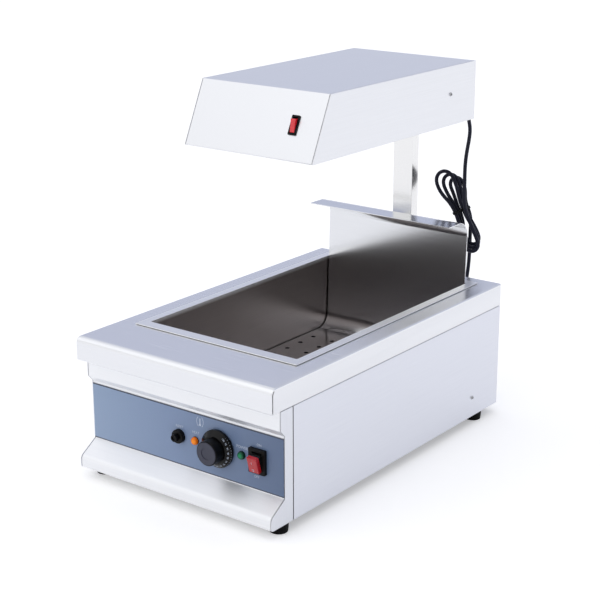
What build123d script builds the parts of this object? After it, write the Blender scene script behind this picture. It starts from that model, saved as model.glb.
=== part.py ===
"""Chip scuttle: a heated well with a perforated insert, under a heat-lamp head on a rear post.

Millimetres. +Z is up, -Y is the operator's side. The origin is on the table, under the middle
of the object's box.
"""
from build123d import *
import os
from math import cos, hypot, pi, radians, sin, sqrt, tan

os.makedirs("parts", exist_ok=True)

# Base carcass
base_width = 400.0
foot_height = 17.0
sheet = 1.2
skirt_drop = 40.0
lip_round = 11.0
lip_heel = 2.0
deck_edge = 2.5
seam = 1.0
cheek_seam = 2.2
corner_seam = 2.0
corner_seam_setback = 1.2
corner_seam_turn = 55.0

# Front profile, from the deck down, with setbacks behind the lip's face
neck_setback = 21.6
neck_drop = 73.0
neck_tuck = 9.0
chamfer_height = 10.5
panel_setback = 31.0
panel_height = 101.5
slope_height = 22.0
nose_reach = 3.0
nose_height = 20.0
nose_round = 10.0
nose_heel = 4.0
fold = 1.5
cheek_depth = 50.0
cheek_backing = 17.0
cheek_lap = 8.0

# Carcass fixings
rail_sheet = 1.5
rail_shelf = 15.0
rail_lap = 20.0
rail_front_setback = 70.0
rail_rear_margin = 40.0
base_upstand = 45.0
upstand_front_setback = 64.0
post_bay_gap = 7.7
screw_radius = 2.0
screw_head_radius = 3.6
screw_head = 2.2
screw_length = 9.0
screw_head_taper = 0.65
hole_gap = 0.25
fit_gap = 0.05
side_screw_inset = 88.0
side_screw_rise = 36.4
back_screw_rise = 30.0
back_screw_pitch = 110.0
back_screw_count = 4
vent_width = 4.0
vent_height = 34.0
vent_pitch = 12.0
vent_count = 9
vent_drop = 105.0
vent_x = -95.0

# Feet
foot_side_inset = 17.0
foot_front_setback = 36.0
foot_rear_inset = 55.0
foot_top_radius = 16.0
foot_sole_radius = 14.5
foot_edge = 1.5
foot_recess_radius = 6.0
foot_recess = 9.0
foot_screw_radius = 2.5
foot_screw_head_radius = 4.6
foot_screw_head = 3.2
foot_nut_radius = 4.6
foot_nut = 4.0
foot_screw_tail = 1.5

# Well and its rim
well_width = 304.0
well_length = 501.0
well_setback = 123.5
well_depth = 150.0
well_corner = 3.0
well_clearance = 2.0
rim_side = 15.0
rim_front = 21.0
rim_rear = 13.5
rim_post_gap = 2.8
rim_corner = 1.2
gasket = 0.8
gasket_inset = 1.6

# Perforated insert
insert_gap = 2.0
insert_front_gap = 3.0
insert_sheet = 1.5
insert_stand = 15.0
insert_bend = 27.0
insert_rear_gap = 9.2
back_height = 117.0
back_lean = 2.0
lip_length = 64.0
drain_hole_radius = 4.3
drain_pitch_x = 43.0
drain_pitch_y = 40.0
drain_side_margin = 20.0
drain_front_margin = 15.5
runner_margin = 14.0

# Heater under the well
seat_gap = 0.3
heater_radius = 4.0
heater_pitch = 70.0
heater_bend = 34.0
heater_front_margin = 61.5
heater_rear_margin = 49.5
heater_tail = 13.5
strap_sheet = 1.5
strap_width = 20.0
strap_side_margin = 22.0
strap_front_margin = 136.5
strap_rear_margin = 144.5
tray_side_margin = 12.0
tray_front_margin = 26.5
tray_rear_margin = 24.5
tray_depth = 34.0
tray_sheet = 1.0
tray_hole_radius = 5.0
bulb_x = 70.0
bulb_radius = 3.2
bulb_front_margin = 71.5
bulb_length = 95.0
capillary_radius = 1.2
capillary_bend = 12.0
capillary_run = 18.0
capillary_margin = 13.5

# Control panel
panel_sheet = 1.0
panel_top_gap = 4.0
panel_bottom_gap = 1.5
control_drop = 50.5
dial_inset = 128.8
heat_lamp_inset = 176.4
power_lamp_inset = 82.6
reset_inset = 209.5

# Thermostat and its knob
bush_radius = 5.0
shaft_radius = 3.0
shaft_depth = 18.0
shaft_reach = 25.0
shaft_end_gap = 0.5
thermostat_size = 38.0
thermostat_depth = 34.0
bush_reach = 1.5
dial_radius = 31.0
dial_gap = 2.0
dial_rim = 4.0
dial_bevel = 7.0
dial_bevel_radius = 23.0
grip_radius = 20.0
grip_length = 17.0
grip_edge = 1.0
cap_radius = 18.4
cap_sink = 1.6
cap_proud = 0.8
cap_edge = 0.6
cap_dish_radius = 9.5
cap_dish = 0.8

# Reset
reset_body_radius = 12.0
reset_body_depth = 28.0
reset_bush_radius = 6.5
reset_bush_reach = 6.5
reset_nut_radius = 11.5
reset_nut_height = 8.0
reset_nut_edge = 2.5
button_radius = 6.0
button_front = 15.0
button_head = 5.8
button_stem_radius = 3.5
button_stem_depth = 8.0
button_dish_radius = 3.6
button_dish = 1.5
button_edge = 0.6

# Indicators
barrel_radius = 5.0
barrel_depth = 24.0
collar_radius = 6.8
collar = 1.2
lens_radius = 6.4
lens_height = 4.6
lens_round = 3.0

# Rocker switches: frame, opening and body are width, height pairs
panel_switch_inset = 50.5
panel_switch_drop = 1.0
panel_switch_frame = (32.0, 40.5)
panel_switch_proud = 5.0
panel_switch_opening = (19.3, 30.2)
panel_switch_body = (27.0, 36.0)
panel_switch_depth = 24.0
panel_switch_pivot = 3.2
panel_switch_throw = 16.0
panel_rocker_crown = 13.5
panel_rocker_reach = 13.2
head_switch_x = 76.7
head_switch_rise = 52.0
head_switch_frame = (15.0, 32.0)
head_switch_proud = 2.0
head_switch_opening = (9.4, 26.0)
head_switch_body = (13.0, 29.0)
head_switch_depth = 22.0
head_switch_pivot = 3.0
head_switch_throw = 17.0
head_rocker_crown = 6.5
head_rocker_reach = 10.75
rocker_gap = 0.4
rocker_edge = 1.0
rocker_heel = 3.0
rocker_floor = 1.0
rocker_pin = 0.8
rocker_pin_radius = 1.0
switch_corner = 1.5
cutout_gap = 0.2

# Supply entry
mains_gland_reach = 21.0
mains_gland_x = -60.0
mains_gland_rise = 47.0
gland_bore_radius = 4.6
gland_thread_radius = 10.0
gland_thread_depth = 9.0
gland_nut_flat = 12.0
gland_nut_height = 6.0
gland_dome_radius = 10.5
gland_mouth_radius = 7.5
gland_dome_height = 8.0
lock_nut_height = 4.0
block_size = (62.0, 22.0, 20.0)
block_side_margin = 80.0
block_rear_margin = 90.0
block_poles = 6
block_pole_pitch = 9.5
block_screw_radius = 2.2
block_screw_depth = 6.0

# Post
post_width = 40.0
post_depth = 20.0
post_wall = 1.5
post_gap = 0.3
clamp_sheet = 2.0
clamp_height = 40.0
clamp_drop = 125.0
clamp_ear = 14.0
bolt_radius = 2.5
bolt_head_radius = 4.8
bolt_head = 3.6
bolt_nut = 4.0
bolt_tail = 1.5

# Heat-lamp head, as setbacks behind the lip's face and rises above the deck
head_width = 258.0
head_bottom_rise = 289.5
head_top_rise = 392.0
head_front_low_setback = 192.6
head_front_high_setback = 240.6
head_overhang = 7.0
head_sheet = 1.0
head_seam = 0.8
head_fold = 1.6
head_return = 14.0
head_base_margin = 4.0
head_screw_inset = 81.0
head_screw_rise = 343.6
socket_sheet = 2.0
socket_height = 60.0
socket_plate_reach = 78.8
socket_tab = 32.0
socket_tab_height = 66.0
lamp_mouth_width = 190.0
lamp_mouth_front_margin = 62.4
lamp_mouth_rear_gap = 17.0
reflector_top_width = 140.0
reflector_height = 46.0
reflector_sheet = 0.8
reflector_flange = 12.0
lamp_radius = 5.5
lamp_x = 38.0
lamp_rise = 20.0
lamp_end_margin = 14.0
holder_width = 18.0
holder_length = 22.0
holder_floor = 4.0
guard_margin = 9.0
guard_slot_width = 40.0
guard_slot_length = 13.0
guard_slot_round = 3.0
guard_slot_pitch_x = 46.0
guard_slot_pitch_y = 20.0
guard_slot_columns = 4
guard_slot_rows = 14

# Lamp lead
lead_diameter = 6.8
relief_length = 28.0
relief_dome_radius = 8.5
relief_root_radius = 6.2
relief_tip_radius = 4.3
relief_flange_radius = 10.0
relief_flange = 2.0
relief_barrel_radius = 6.0
relief_barrel_depth = 9.0
relief_nut_radius = 9.0
relief_nut = 4.0
head_gland_x = 110.5
head_gland_rise = 312.0
head_gland_slope = 65.0
base_gland_x = 110.0
base_gland_drop = 78.0
base_gland_slope = 60.0
lead_upper_places = (
    (108.0, 351.0, 493.0), (104.2, 350.6, 471.0), (102.9, 348.0, 449.0), (104.8, 344.0, 428.5),
)
lead_lower_places = ((105.6, 366.0, 248.0), (107.6, 357.5, 226.5))

# Hank of the lamp lead
hank_loops = 3
hank_middle = (93.0, 356.0)
hank_lean = 28.9
hank_climb = 3.9
hank_waist = 8.0
hank_top_length = 60.0
hank_top_shrink = 7.0
hank_top_fold = 19.0
hank_top_fold_shrink = 2.5
hank_top_shift = -3.0
hank_top_fan = 5.0
hank_low_length = 62.0
hank_low_shrink = 5.0
hank_low_fold = 15.0
hank_low_fold_shrink = 0.7
hank_low_shift = -1.0
hank_low_fan = -1.0
hank_entry = (107.0, 341.0, 394.0)
hank_exit = (104.5, 370.5, 290.0)
tie_width = 5.0
tie_wall = 1.4
tie_gap = 0.3
lead_lead_in = 18.0
lead_run_share = 0.45
gap_step = 1.5
parallel_limit = 1e-9

# Places worked out from the sizes above
half_width = base_width / 2
base_depth = well_setback + well_length + rim_rear + rim_post_gap + post_depth + sheet
panel_top_drop = neck_drop + chamfer_height
panel_bottom_drop = panel_top_drop + panel_height
nose_top_drop = panel_bottom_drop + slope_height
body_height = nose_top_drop + nose_height
front_y = (nose_reach - base_depth - mains_gland_reach) / 2
rear_y = front_y + base_depth
bottom_z = foot_height
deck_z = foot_height + body_height
skirt_z = deck_z - skirt_drop
neck_y = front_y + neck_setback
panel_y = front_y + panel_setback
panel_face_y = panel_y - panel_sheet
nose_y = front_y - nose_reach
cheek_y = front_y + cheek_depth
control_z = deck_z - panel_top_drop - control_drop
well_front_y = front_y + well_setback
well_rear_y = well_front_y + well_length
well_y = (well_front_y + well_rear_y) / 2
well_floor_z = deck_z - well_depth
well_under_z = well_floor_z - sheet
heater_z = well_under_z - seat_gap - heater_radius
strap_z = heater_z - heater_radius - seat_gap
post_y = rear_y - sheet - post_depth / 2
head_half = head_width / 2
head_inside = head_half - head_sheet
head_rear_y = rear_y + head_overhang
head_low_z = deck_z + head_bottom_rise
head_high_z = deck_z + head_top_rise
head_front_low_y = front_y + head_front_low_setback
head_front_high_y = front_y + head_front_high_setback
head_floor_z = head_low_z + 2 * head_sheet
panel_stack = panel_sheet + sheet
dial_x = half_width - dial_inset
heat_lamp_x = half_width - heat_lamp_inset
power_lamp_x = half_width - power_lamp_inset
reset_x = half_width - reset_inset
panel_switch_x = half_width - panel_switch_inset
panel_switch_z = control_z - panel_switch_drop

MIN = (Align.CENTER, Align.CENTER, Align.MIN)
MAX = (Align.CENTER, Align.CENTER, Align.MAX)


def keep(piece, name):
    """Label a finished piece and write it under its name."""
    piece.label = name
    export_step(piece, f"parts/{name}.step")


def front_plane(x, z, y=panel_face_y):
    """A plane on a front face: X to the right, Y up, normal towards the operator."""
    return Plane(origin=(x, y, z), x_dir=(1, 0, 0), z_dir=(0, -1, 0))


def rear_plane(x, z, y=rear_y):
    """A plane on a rear face, with its normal pointing away from the operator."""
    return Plane(origin=(x, y, z), x_dir=(-1, 0, 0), z_dir=(0, 1, 0))


def side_plane(side, y, z, x=half_width):
    """A plane on the left (-1) or right (+1) face, with its normal pointing outwards."""
    return Plane(origin=(side * x, y, z), x_dir=(0, side, 0), z_dir=(side, 0, 0))


# Deck: rounded front lip, skirts on three sides, cut-outs for the well and the post. The side
# skirts are folded down from the top, and a curved seam parts each of them from the lip.
with BuildPart() as deck_top:
    with BuildSketch(Plane.YZ):
        with BuildLine():
            FilletPolyline(
                (front_y, skirt_z), (front_y, deck_z), (rear_y, deck_z), (rear_y, skirt_z),
                radius=[lip_heel, lip_round, 0, 0], close=True,
            )
        make_face()
    extrude(amount=half_width, both=True)
    with BuildSketch(Plane.XZ):
        with BuildLine():
            FilletPolyline(
                (-half_width, skirt_z), (-half_width, deck_z), (half_width, deck_z),
                (half_width, skirt_z), radius=[0, deck_edge, deck_edge, 0], close=True,
            )
        make_face()
    extrude(amount=base_depth, both=True, mode=Mode.INTERSECT)
    with BuildSketch(Plane.YZ):
        with BuildLine():
            FilletPolyline(
                (front_y + sheet, skirt_z + sheet), (front_y + sheet, deck_z - sheet),
                (rear_y - sheet, deck_z - sheet), (rear_y - sheet, skirt_z),
                (neck_y, skirt_z), (neck_y, skirt_z + sheet),
                radius=[max(lip_heel - sheet, 0), max(lip_round - sheet, 0), 0, 0, 0, 0],
                close=True,
            )
        make_face()
    extrude(amount=half_width - sheet, both=True, mode=Mode.SUBTRACT)
    with BuildSketch(Plane.XY.offset(deck_z)):
        with Locations((0, well_y)):
            Rectangle(
                well_width + 2 * (sheet + well_clearance),
                well_length + 2 * (sheet + well_clearance),
            )
        with Locations((0, rear_y - sheet)):
            Rectangle(
                post_width + 2 * post_gap, post_depth + post_gap, align=(Align.CENTER, Align.MAX)
            )
    extrude(amount=-2 * sheet, mode=Mode.SUBTRACT)
    for side in (-1, 1):
        with BuildSketch(Plane.YZ.offset(side * half_width)):
            with BuildLine():
                Line(
                    (front_y + corner_seam_setback, skirt_z),
                    (front_y + corner_seam_setback, deck_z - lip_round),
                )
                CenterArc(
                    (front_y + lip_round, deck_z - lip_round), lip_round - corner_seam_setback,
                    180, -corner_seam_turn,
                )
                offset(amount=corner_seam, side=Side.RIGHT)
            make_face()
        extrude(amount=-side * sheet, mode=Mode.SUBTRACT)
keep(deck_top.part, "deck_top")


def deck_rail(side):
    """Angle rail under one edge of the deck, reaching down behind the side panel."""
    outer = half_width - sheet
    length = base_depth - rail_front_setback - rail_rear_margin
    start_y = front_y + rail_front_setback
    with BuildPart() as rail:
        with Locations((side * (outer - rail_sheet / 2), start_y, deck_z - sheet)):
            Box(
                rail_sheet, length, skirt_drop - sheet + rail_lap,
                align=(Align.CENTER, Align.MIN, Align.MAX),
            )
        with Locations((side * (outer - rail_shelf / 2), start_y, deck_z - sheet)):
            Box(rail_shelf, length, rail_sheet, align=(Align.CENTER, Align.MIN, Align.MAX))
    return rail.part


keep(deck_rail(-1), "deck_rail_left")
keep(deck_rail(1), "deck_rail_right")

# Folded front: neck under the lip, set-back panel, slope and rounded nose
neck = (neck_y, deck_z - neck_drop)
panel_top = (panel_y, deck_z - panel_top_drop)
panel_bottom = (panel_y, deck_z - panel_bottom_drop)
nose_top = (nose_y, deck_z - nose_top_drop)
nose_bottom = (nose_y, bottom_z)
front_folds = [fold, fold, fold, nose_round, nose_heel]
control_depth = 4 * panel_stack
fascia_half = half_width - sheet - seam


def cut_controls():
    """Cut the control openings through the sheet being built."""
    with Locations(front_plane(dial_x, control_z)):
        Cylinder(bush_radius, control_depth, mode=Mode.SUBTRACT)
    for lamp in (heat_lamp_x, power_lamp_x):
        with Locations(front_plane(lamp, control_z)):
            Cylinder(barrel_radius, control_depth, mode=Mode.SUBTRACT)
    with Locations(front_plane(reset_x, control_z)):
        Cylinder(reset_bush_radius, control_depth, mode=Mode.SUBTRACT)
    with Locations(front_plane(panel_switch_x, panel_switch_z)):
        Box(
            panel_switch_body[0] + 2 * cutout_gap, panel_switch_body[1] + 2 * cutout_gap,
            control_depth, mode=Mode.SUBTRACT,
        )


with BuildPart() as front_fascia:
    with BuildSketch(Plane.YZ):
        with BuildLine():
            FilletPolyline(
                (neck_y, skirt_z + neck_tuck), neck, panel_top, panel_bottom, nose_top,
                nose_bottom, (neck_y, bottom_z), radius=front_folds,
            )
            offset(amount=sheet, side=Side.LEFT)
        make_face()
    extrude(amount=fascia_half, both=True)
    cut_controls()
keep(front_fascia.part, "front_fascia")

with BuildPart() as control_panel:
    with Locations((0, panel_face_y, deck_z - panel_top_drop - panel_top_gap)):
        Box(
            2 * fascia_half, panel_sheet, panel_height - panel_top_gap - panel_bottom_gap,
            align=(Align.CENTER, Align.MIN, Align.MAX),
        )
    cut_controls()
keep(control_panel.part, "control_panel")


def cheek(side):
    """End plate that closes the folded front, with a strip that laps behind the side panel."""
    start_x = half_width - sheet if side > 0 else -half_width
    with BuildPart() as plate:
        with BuildSketch(Plane.YZ.offset(start_x)):
            with BuildLine():
                FilletPolyline(
                    (neck_y, skirt_z - seam), neck, panel_top, panel_bottom, nose_top,
                    nose_bottom, (cheek_y, bottom_z), (cheek_y, skirt_z - seam),
                    radius=[0] + front_folds + [0, 0], close=True,
                )
            make_face()
        extrude(amount=sheet)
        with Locations((side * (half_width - sheet - sheet / 2), cheek_y - cheek_lap, skirt_z - seam)):
            Box(
                sheet, cheek_backing, skirt_z - seam - bottom_z - base_upstand,
                align=(Align.CENTER, Align.MIN, Align.MAX),
            )
    return plate.part


keep(cheek(-1), "cheek_left")
keep(cheek(1), "cheek_right")

# Side, back and bottom sheets
side_screw_y = rear_y - side_screw_inset
side_screw_z = bottom_z + side_screw_rise
side_screw_planes = [side_plane(side, side_screw_y, side_screw_z) for side in (-1, 1)]
back_screw_planes = [
    rear_plane((place - (back_screw_count - 1) / 2) * back_screw_pitch, bottom_z + back_screw_rise)
    for place in range(back_screw_count)
]
foot_x = half_width - foot_side_inset
foot_spots = [
    (x, y)
    for x in (-foot_x, foot_x)
    for y in (front_y + foot_front_setback, rear_y - foot_rear_inset)
]
clamp_bolt_x = post_width / 2 + post_gap + clamp_sheet + clamp_ear / 2
post_bay = clamp_bolt_x + clamp_ear / 2 + post_bay_gap
clamp_z = deck_z - clamp_drop
clamp_bolt_planes = [rear_plane(side * clamp_bolt_x, clamp_z) for side in (-1, 1)]
mains_face = rear_plane(mains_gland_x, bottom_z + mains_gland_rise)
base_gland_face = rear_plane(base_gland_x, deck_z - base_gland_drop)


def drill(planes, radius, depth):
    """Drill round holes through the part being built, centred on the planes."""
    with Locations(*planes):
        Cylinder(radius, 2 * depth, mode=Mode.SUBTRACT)


def side_panel(side):
    """Flat side sheet behind the cheek."""
    with BuildPart() as panel:
        with Locations((side * (half_width - sheet / 2), rear_y, bottom_z)):
            Box(
                sheet, rear_y - cheek_y - cheek_seam, skirt_z - seam - bottom_z,
                align=(Align.CENTER, Align.MAX, Align.MIN),
            )
        drill(side_screw_planes, screw_radius + hole_gap, screw_length)
    return panel.part


keep(side_panel(-1), "side_panel_left")
keep(side_panel(1), "side_panel_right")

with BuildPart() as back_panel:
    with Locations((0, rear_y, bottom_z)):
        Box(
            2 * (half_width - sheet), sheet, skirt_z - seam - bottom_z,
            align=(Align.CENTER, Align.MAX, Align.MIN),
        )
    with Locations(rear_plane(vent_x, deck_z - vent_drop)):
        with GridLocations(vent_pitch, vent_height, vent_count, 1):
            Box(vent_width, vent_height, 4 * sheet, mode=Mode.SUBTRACT)
    drill(back_screw_planes, screw_radius + hole_gap, screw_length)
    drill(clamp_bolt_planes, bolt_radius + hole_gap, 2 * sheet)
    drill([mains_face], gland_thread_radius + hole_gap, 2 * sheet)
    drill([base_gland_face], relief_barrel_radius + hole_gap, 2 * sheet)
keep(back_panel.part, "back_panel")

with BuildPart() as base_plate:
    with Locations((0, neck_y, bottom_z)):
        Box(
            2 * (half_width - sheet), rear_y - sheet - neck_y, sheet,
            align=(Align.CENTER, Align.MIN, Align.MIN),
        )
    for side in (-1, 1):
        with Locations((side * (half_width - sheet - sheet / 2), rear_y - sheet, bottom_z)):
            Box(
                sheet, base_depth - sheet - upstand_front_setback, base_upstand,
                align=(Align.CENTER, Align.MAX, Align.MIN),
            )
        with Locations((side * (half_width - sheet + post_bay) / 2, rear_y - sheet, bottom_z)):
            Box(
                half_width - sheet - post_bay, sheet, base_upstand,
                align=(Align.CENTER, Align.MAX, Align.MIN),
            )
    drill([Plane((x, y, bottom_z)) for x, y in foot_spots], foot_screw_radius + hole_gap, 2 * sheet)
    drill(side_screw_planes, screw_radius + hole_gap, screw_length)
    drill(back_screw_planes, screw_radius + hole_gap, screw_length)
    drill([mains_face], gland_thread_radius + gland_nut_flat, 3 * sheet)
keep(base_plate.part, "base_plate")


def screws(planes):
    """Panel screws with low tapered heads standing on the given faces."""
    with BuildPart() as made:
        with Locations(*planes):
            Cone(screw_head_radius, screw_head_taper * screw_head_radius, screw_head, align=MIN)
            Cylinder(screw_radius, screw_length, align=MAX)
    return made.part


keep(screws(side_screw_planes), "side_screws")
keep(screws(back_screw_planes), "back_screws")

# Feet and the screws that hold them
with BuildPart() as rubber_feet:
    with Locations(*[(x, y, 0) for x, y in foot_spots]):
        Cone(foot_sole_radius, foot_top_radius, foot_height, align=MIN)
    fillet(rubber_feet.edges().group_by(Axis.Z)[0], radius=foot_edge)
    with Locations(*[(x, y, 0) for x, y in foot_spots]):
        Cylinder(foot_recess_radius, foot_recess, align=MIN, mode=Mode.SUBTRACT)
        Cylinder(foot_screw_radius + hole_gap, foot_height, align=MIN, mode=Mode.SUBTRACT)
keep(rubber_feet.part, "rubber_feet")

with BuildPart() as foot_screws:
    with Locations(*[(x, y, foot_recess) for x, y in foot_spots]):
        Cylinder(foot_screw_head_radius, foot_screw_head, align=MAX)
        Cylinder(
            foot_screw_radius, foot_height - foot_recess + sheet + foot_nut + foot_screw_tail,
            align=MIN,
        )
    with BuildSketch(Plane.XY.offset(bottom_z + sheet)):
        with Locations(*foot_spots):
            RegularPolygon(foot_nut_radius, 6)
    extrude(amount=foot_nut)
keep(foot_screws.part, "foot_screws")

# Well: gasket, drop-in pan and the loose perforated insert
rim_z = deck_z + gasket
rim_width = well_width + 2 * rim_side
rim_length = well_length + rim_front + rim_rear
rim_y = well_y + (rim_rear - rim_front) / 2

with BuildPart() as well_gasket:
    with BuildSketch(Plane.XY.offset(deck_z)):
        with Locations((0, rim_y)):
            Rectangle(rim_width - 2 * gasket_inset, rim_length - 2 * gasket_inset)
        with Locations((0, well_y)):
            Rectangle(
                well_width + 2 * (sheet + well_clearance),
                well_length + 2 * (sheet + well_clearance), mode=Mode.SUBTRACT,
            )
    extrude(amount=gasket)
keep(well_gasket.part, "well_gasket")

with BuildPart() as well_pan:
    with BuildSketch(Plane.XY.offset(rim_z)):
        with Locations((0, rim_y)):
            RectangleRounded(rim_width, rim_length, rim_corner)
    extrude(amount=sheet)
    with BuildSketch(Plane.XY.offset(rim_z)):
        with Locations((0, well_y)):
            RectangleRounded(well_width + 2 * sheet, well_length + 2 * sheet, well_corner + sheet)
    extrude(amount=well_under_z - rim_z)
    with BuildSketch(Plane.XY.offset(rim_z + sheet)):
        with Locations((0, well_y)):
            RectangleRounded(well_width, well_length, well_corner)
    extrude(amount=well_floor_z - rim_z - sheet, mode=Mode.SUBTRACT)
keep(well_pan.part, "well_pan")

insert_half = well_width / 2 - insert_gap
insert_floor_z = well_floor_z + insert_stand
insert_front_y = well_front_y + insert_front_gap
insert_foot_y = well_rear_y - insert_rear_gap
insert_under_lip_z = deck_z + back_height - insert_sheet
insert_top_y = insert_foot_y + (insert_under_lip_z - insert_floor_z) * tan(radians(back_lean))
insert_flat = insert_foot_y - insert_front_y - insert_bend
runner_length = insert_flat - 2 * runner_margin
drain_columns = int(2 * (insert_half - drain_side_margin) / drain_pitch_x) + 1
drain_rows = int((insert_flat - 2 * drain_front_margin) / drain_pitch_y) + 1
drain_y = insert_front_y + drain_front_margin + drain_pitch_y * (drain_rows - 1) / 2

with BuildPart() as chip_insert:
    with BuildSketch(Plane.YZ):
        with BuildLine():
            FilletPolyline(
                (insert_front_y, insert_floor_z), (insert_foot_y, insert_floor_z),
                (insert_top_y, insert_under_lip_z),
                (insert_top_y + insert_sheet - lip_length, insert_under_lip_z),
                radius=insert_bend,
            )
            offset(amount=insert_sheet, side=Side.RIGHT)
        make_face()
    extrude(amount=insert_half, both=True)
    for side in (-1, 1):
        with Locations((side * insert_half, insert_front_y + runner_margin, well_floor_z)):
            Box(
                insert_sheet, runner_length, insert_stand - insert_sheet / 2,
                align=(Align.MAX if side > 0 else Align.MIN, Align.MIN, Align.MIN),
            )
    with Locations((0, drain_y, insert_floor_z)):
        with GridLocations(drain_pitch_x, drain_pitch_y, drain_columns, drain_rows):
            Cylinder(drain_hole_radius, 3 * insert_sheet, mode=Mode.SUBTRACT)
keep(chip_insert.part, "chip_insert")

# Tubular heater under the well, its straps, its tray and the sensing bulb
heater_x = 1.5 * heater_pitch
heater_rear_y = well_rear_y - heater_rear_margin
heater_front_y = well_front_y + heater_front_margin
heater_tail_y = well_front_y - heater_tail
with BuildPart() as well_heater:
    with BuildLine() as heater_run:
        FilletPolyline(
            (-heater_x, heater_tail_y, heater_z), (-heater_x, heater_rear_y, heater_z),
            (-heater_pitch / 2, heater_rear_y, heater_z),
            (-heater_pitch / 2, heater_front_y, heater_z),
            (heater_pitch / 2, heater_front_y, heater_z),
            (heater_pitch / 2, heater_rear_y, heater_z),
            (heater_x, heater_rear_y, heater_z), (heater_x, heater_tail_y, heater_z),
            radius=heater_bend,
        )
    with BuildSketch(Plane(origin=heater_run.line @ 0, z_dir=heater_run.line % 0)):
        Circle(heater_radius)
    sweep()
keep(well_heater.part, "well_heater")

strap_half = well_width / 2 - strap_side_margin
with BuildPart() as heater_clamps:
    for strap_y in (well_front_y + strap_front_margin, well_rear_y - strap_rear_margin):
        with Locations((0, strap_y, strap_z)):
            Box(2 * strap_half, strap_width, strap_sheet, align=MAX)
        for side in (-1, 1):
            with Locations((side * (strap_half - strap_sheet / 2), strap_y, well_under_z)):
                Box(strap_sheet, strap_width, well_under_z - strap_z + strap_sheet, align=MAX)
keep(heater_clamps.part, "heater_clamps")

bulb_z = well_under_z - seat_gap - bulb_radius
tray_half = well_width / 2 - tray_side_margin
tray_front_y = well_front_y + tray_front_margin
tray_length = well_rear_y - tray_rear_margin - tray_front_y
with BuildPart() as heat_shield:
    with Locations((0, tray_front_y, well_under_z)):
        Box(
            2 * tray_half, tray_length, tray_depth, align=(Align.CENTER, Align.MIN, Align.MAX)
        )
    with Locations((0, tray_front_y + tray_sheet, well_under_z)):
        Box(
            2 * (tray_half - tray_sheet), tray_length - 2 * tray_sheet, tray_depth - tray_sheet,
            align=(Align.CENTER, Align.MIN, Align.MAX), mode=Mode.SUBTRACT,
        )
    drill(
        [front_plane(x, heater_z, tray_front_y) for x in (-heater_x, heater_x)],
        tray_hole_radius, 2 * tray_sheet,
    )
    drill([front_plane(bulb_x, bulb_z, tray_front_y)], tray_hole_radius, 2 * tray_sheet)
keep(heat_shield.part, "heat_shield")

thermostat_rear_y = panel_face_y + panel_stack + thermostat_depth
bulb_front_y = well_front_y + bulb_front_margin
with BuildPart() as thermostat_bulb:
    with BuildLine() as capillary:
        FilletPolyline(
            (dial_x, thermostat_rear_y, control_z),
            (dial_x, thermostat_rear_y + capillary_run, control_z),
            (bulb_x, well_front_y - capillary_margin, bulb_z),
            (bulb_x, bulb_front_y + bulb_length, bulb_z), radius=capillary_bend,
        )
    with BuildSketch(Plane(origin=capillary.line @ 0, z_dir=capillary.line % 0)):
        Circle(capillary_radius)
    sweep()
    with Locations(rear_plane(bulb_x, bulb_z, bulb_front_y)):
        Cylinder(bulb_radius, bulb_length, align=MIN)
keep(thermostat_bulb.part, "thermostat_bulb")

# Supply entry
block_x = block_side_margin - half_width
with BuildPart() as terminal_block:
    with Locations((block_x, rear_y - block_rear_margin, bottom_z + sheet)):
        Box(*block_size, align=MIN)
    with Locations((block_x, rear_y - block_rear_margin, bottom_z + sheet + block_size[2])):
        with GridLocations(block_pole_pitch, block_size[1] / 2, block_poles, 2):
            Cylinder(block_screw_radius, block_screw_depth, align=MAX, mode=Mode.SUBTRACT)
keep(terminal_block.part, "terminal_block")

gland_nut_radius = gland_nut_flat / cos(radians(30))
with BuildPart() as mains_gland:
    with BuildSketch(mains_face):
        RegularPolygon(gland_nut_radius, 6)
    extrude(amount=gland_nut_height)
    with BuildSketch(mains_face.offset(-sheet)):
        RegularPolygon(gland_nut_radius, 6)
    extrude(amount=-lock_nut_height)
    with Locations(mains_face):
        Cylinder(gland_thread_radius, gland_thread_depth, align=MAX)
    with Locations(mains_face.offset(gland_nut_height)):
        Cylinder(
            gland_dome_radius, mains_gland_reach - gland_nut_height - gland_dome_height, align=MIN
        )
    with Locations(mains_face.offset(mains_gland_reach)):
        Cone(gland_dome_radius, gland_mouth_radius, gland_dome_height, align=MAX)
    drill([mains_face], gland_bore_radius, mains_gland_reach)
keep(mains_gland.part, "mains_gland")

# Thermostat behind the panel, with its shaft, dial, grip and cap
dial_face = front_plane(dial_x, control_z)
with BuildPart() as thermostat_body:
    with BuildSketch(dial_face.offset(-panel_stack)):
        Rectangle(thermostat_size, thermostat_size)
    extrude(amount=-thermostat_depth)
    with Locations(dial_face.offset(-panel_stack)):
        Cylinder(bush_radius - hole_gap, panel_stack + bush_reach, align=MIN)
        Cylinder(
            shaft_radius + fit_gap, shaft_depth + shaft_end_gap, align=MAX, mode=Mode.SUBTRACT
        )
        Cylinder(
            shaft_radius + fit_gap, panel_stack + bush_reach, align=MIN, mode=Mode.SUBTRACT
        )
keep(thermostat_body.part, "thermostat_body")

with BuildPart() as thermostat_shaft:
    with Locations(dial_face.offset(-panel_stack - shaft_depth)):
        Cylinder(shaft_radius, panel_stack + shaft_depth + shaft_reach, align=MIN)
keep(thermostat_shaft.part, "thermostat_shaft")

grip_start = dial_gap + dial_rim + dial_bevel
grip_front = grip_start + grip_length
with BuildPart() as dial_skirt:
    with Locations(dial_face.offset(dial_gap)):
        Cylinder(dial_radius, dial_rim, align=MIN)
    with Locations(dial_face.offset(dial_gap + dial_rim)):
        Cone(dial_radius, dial_bevel_radius, dial_bevel, align=MIN)
    drill([dial_face], shaft_radius + hole_gap, shaft_reach)
keep(dial_skirt.part, "dial_skirt")

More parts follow.
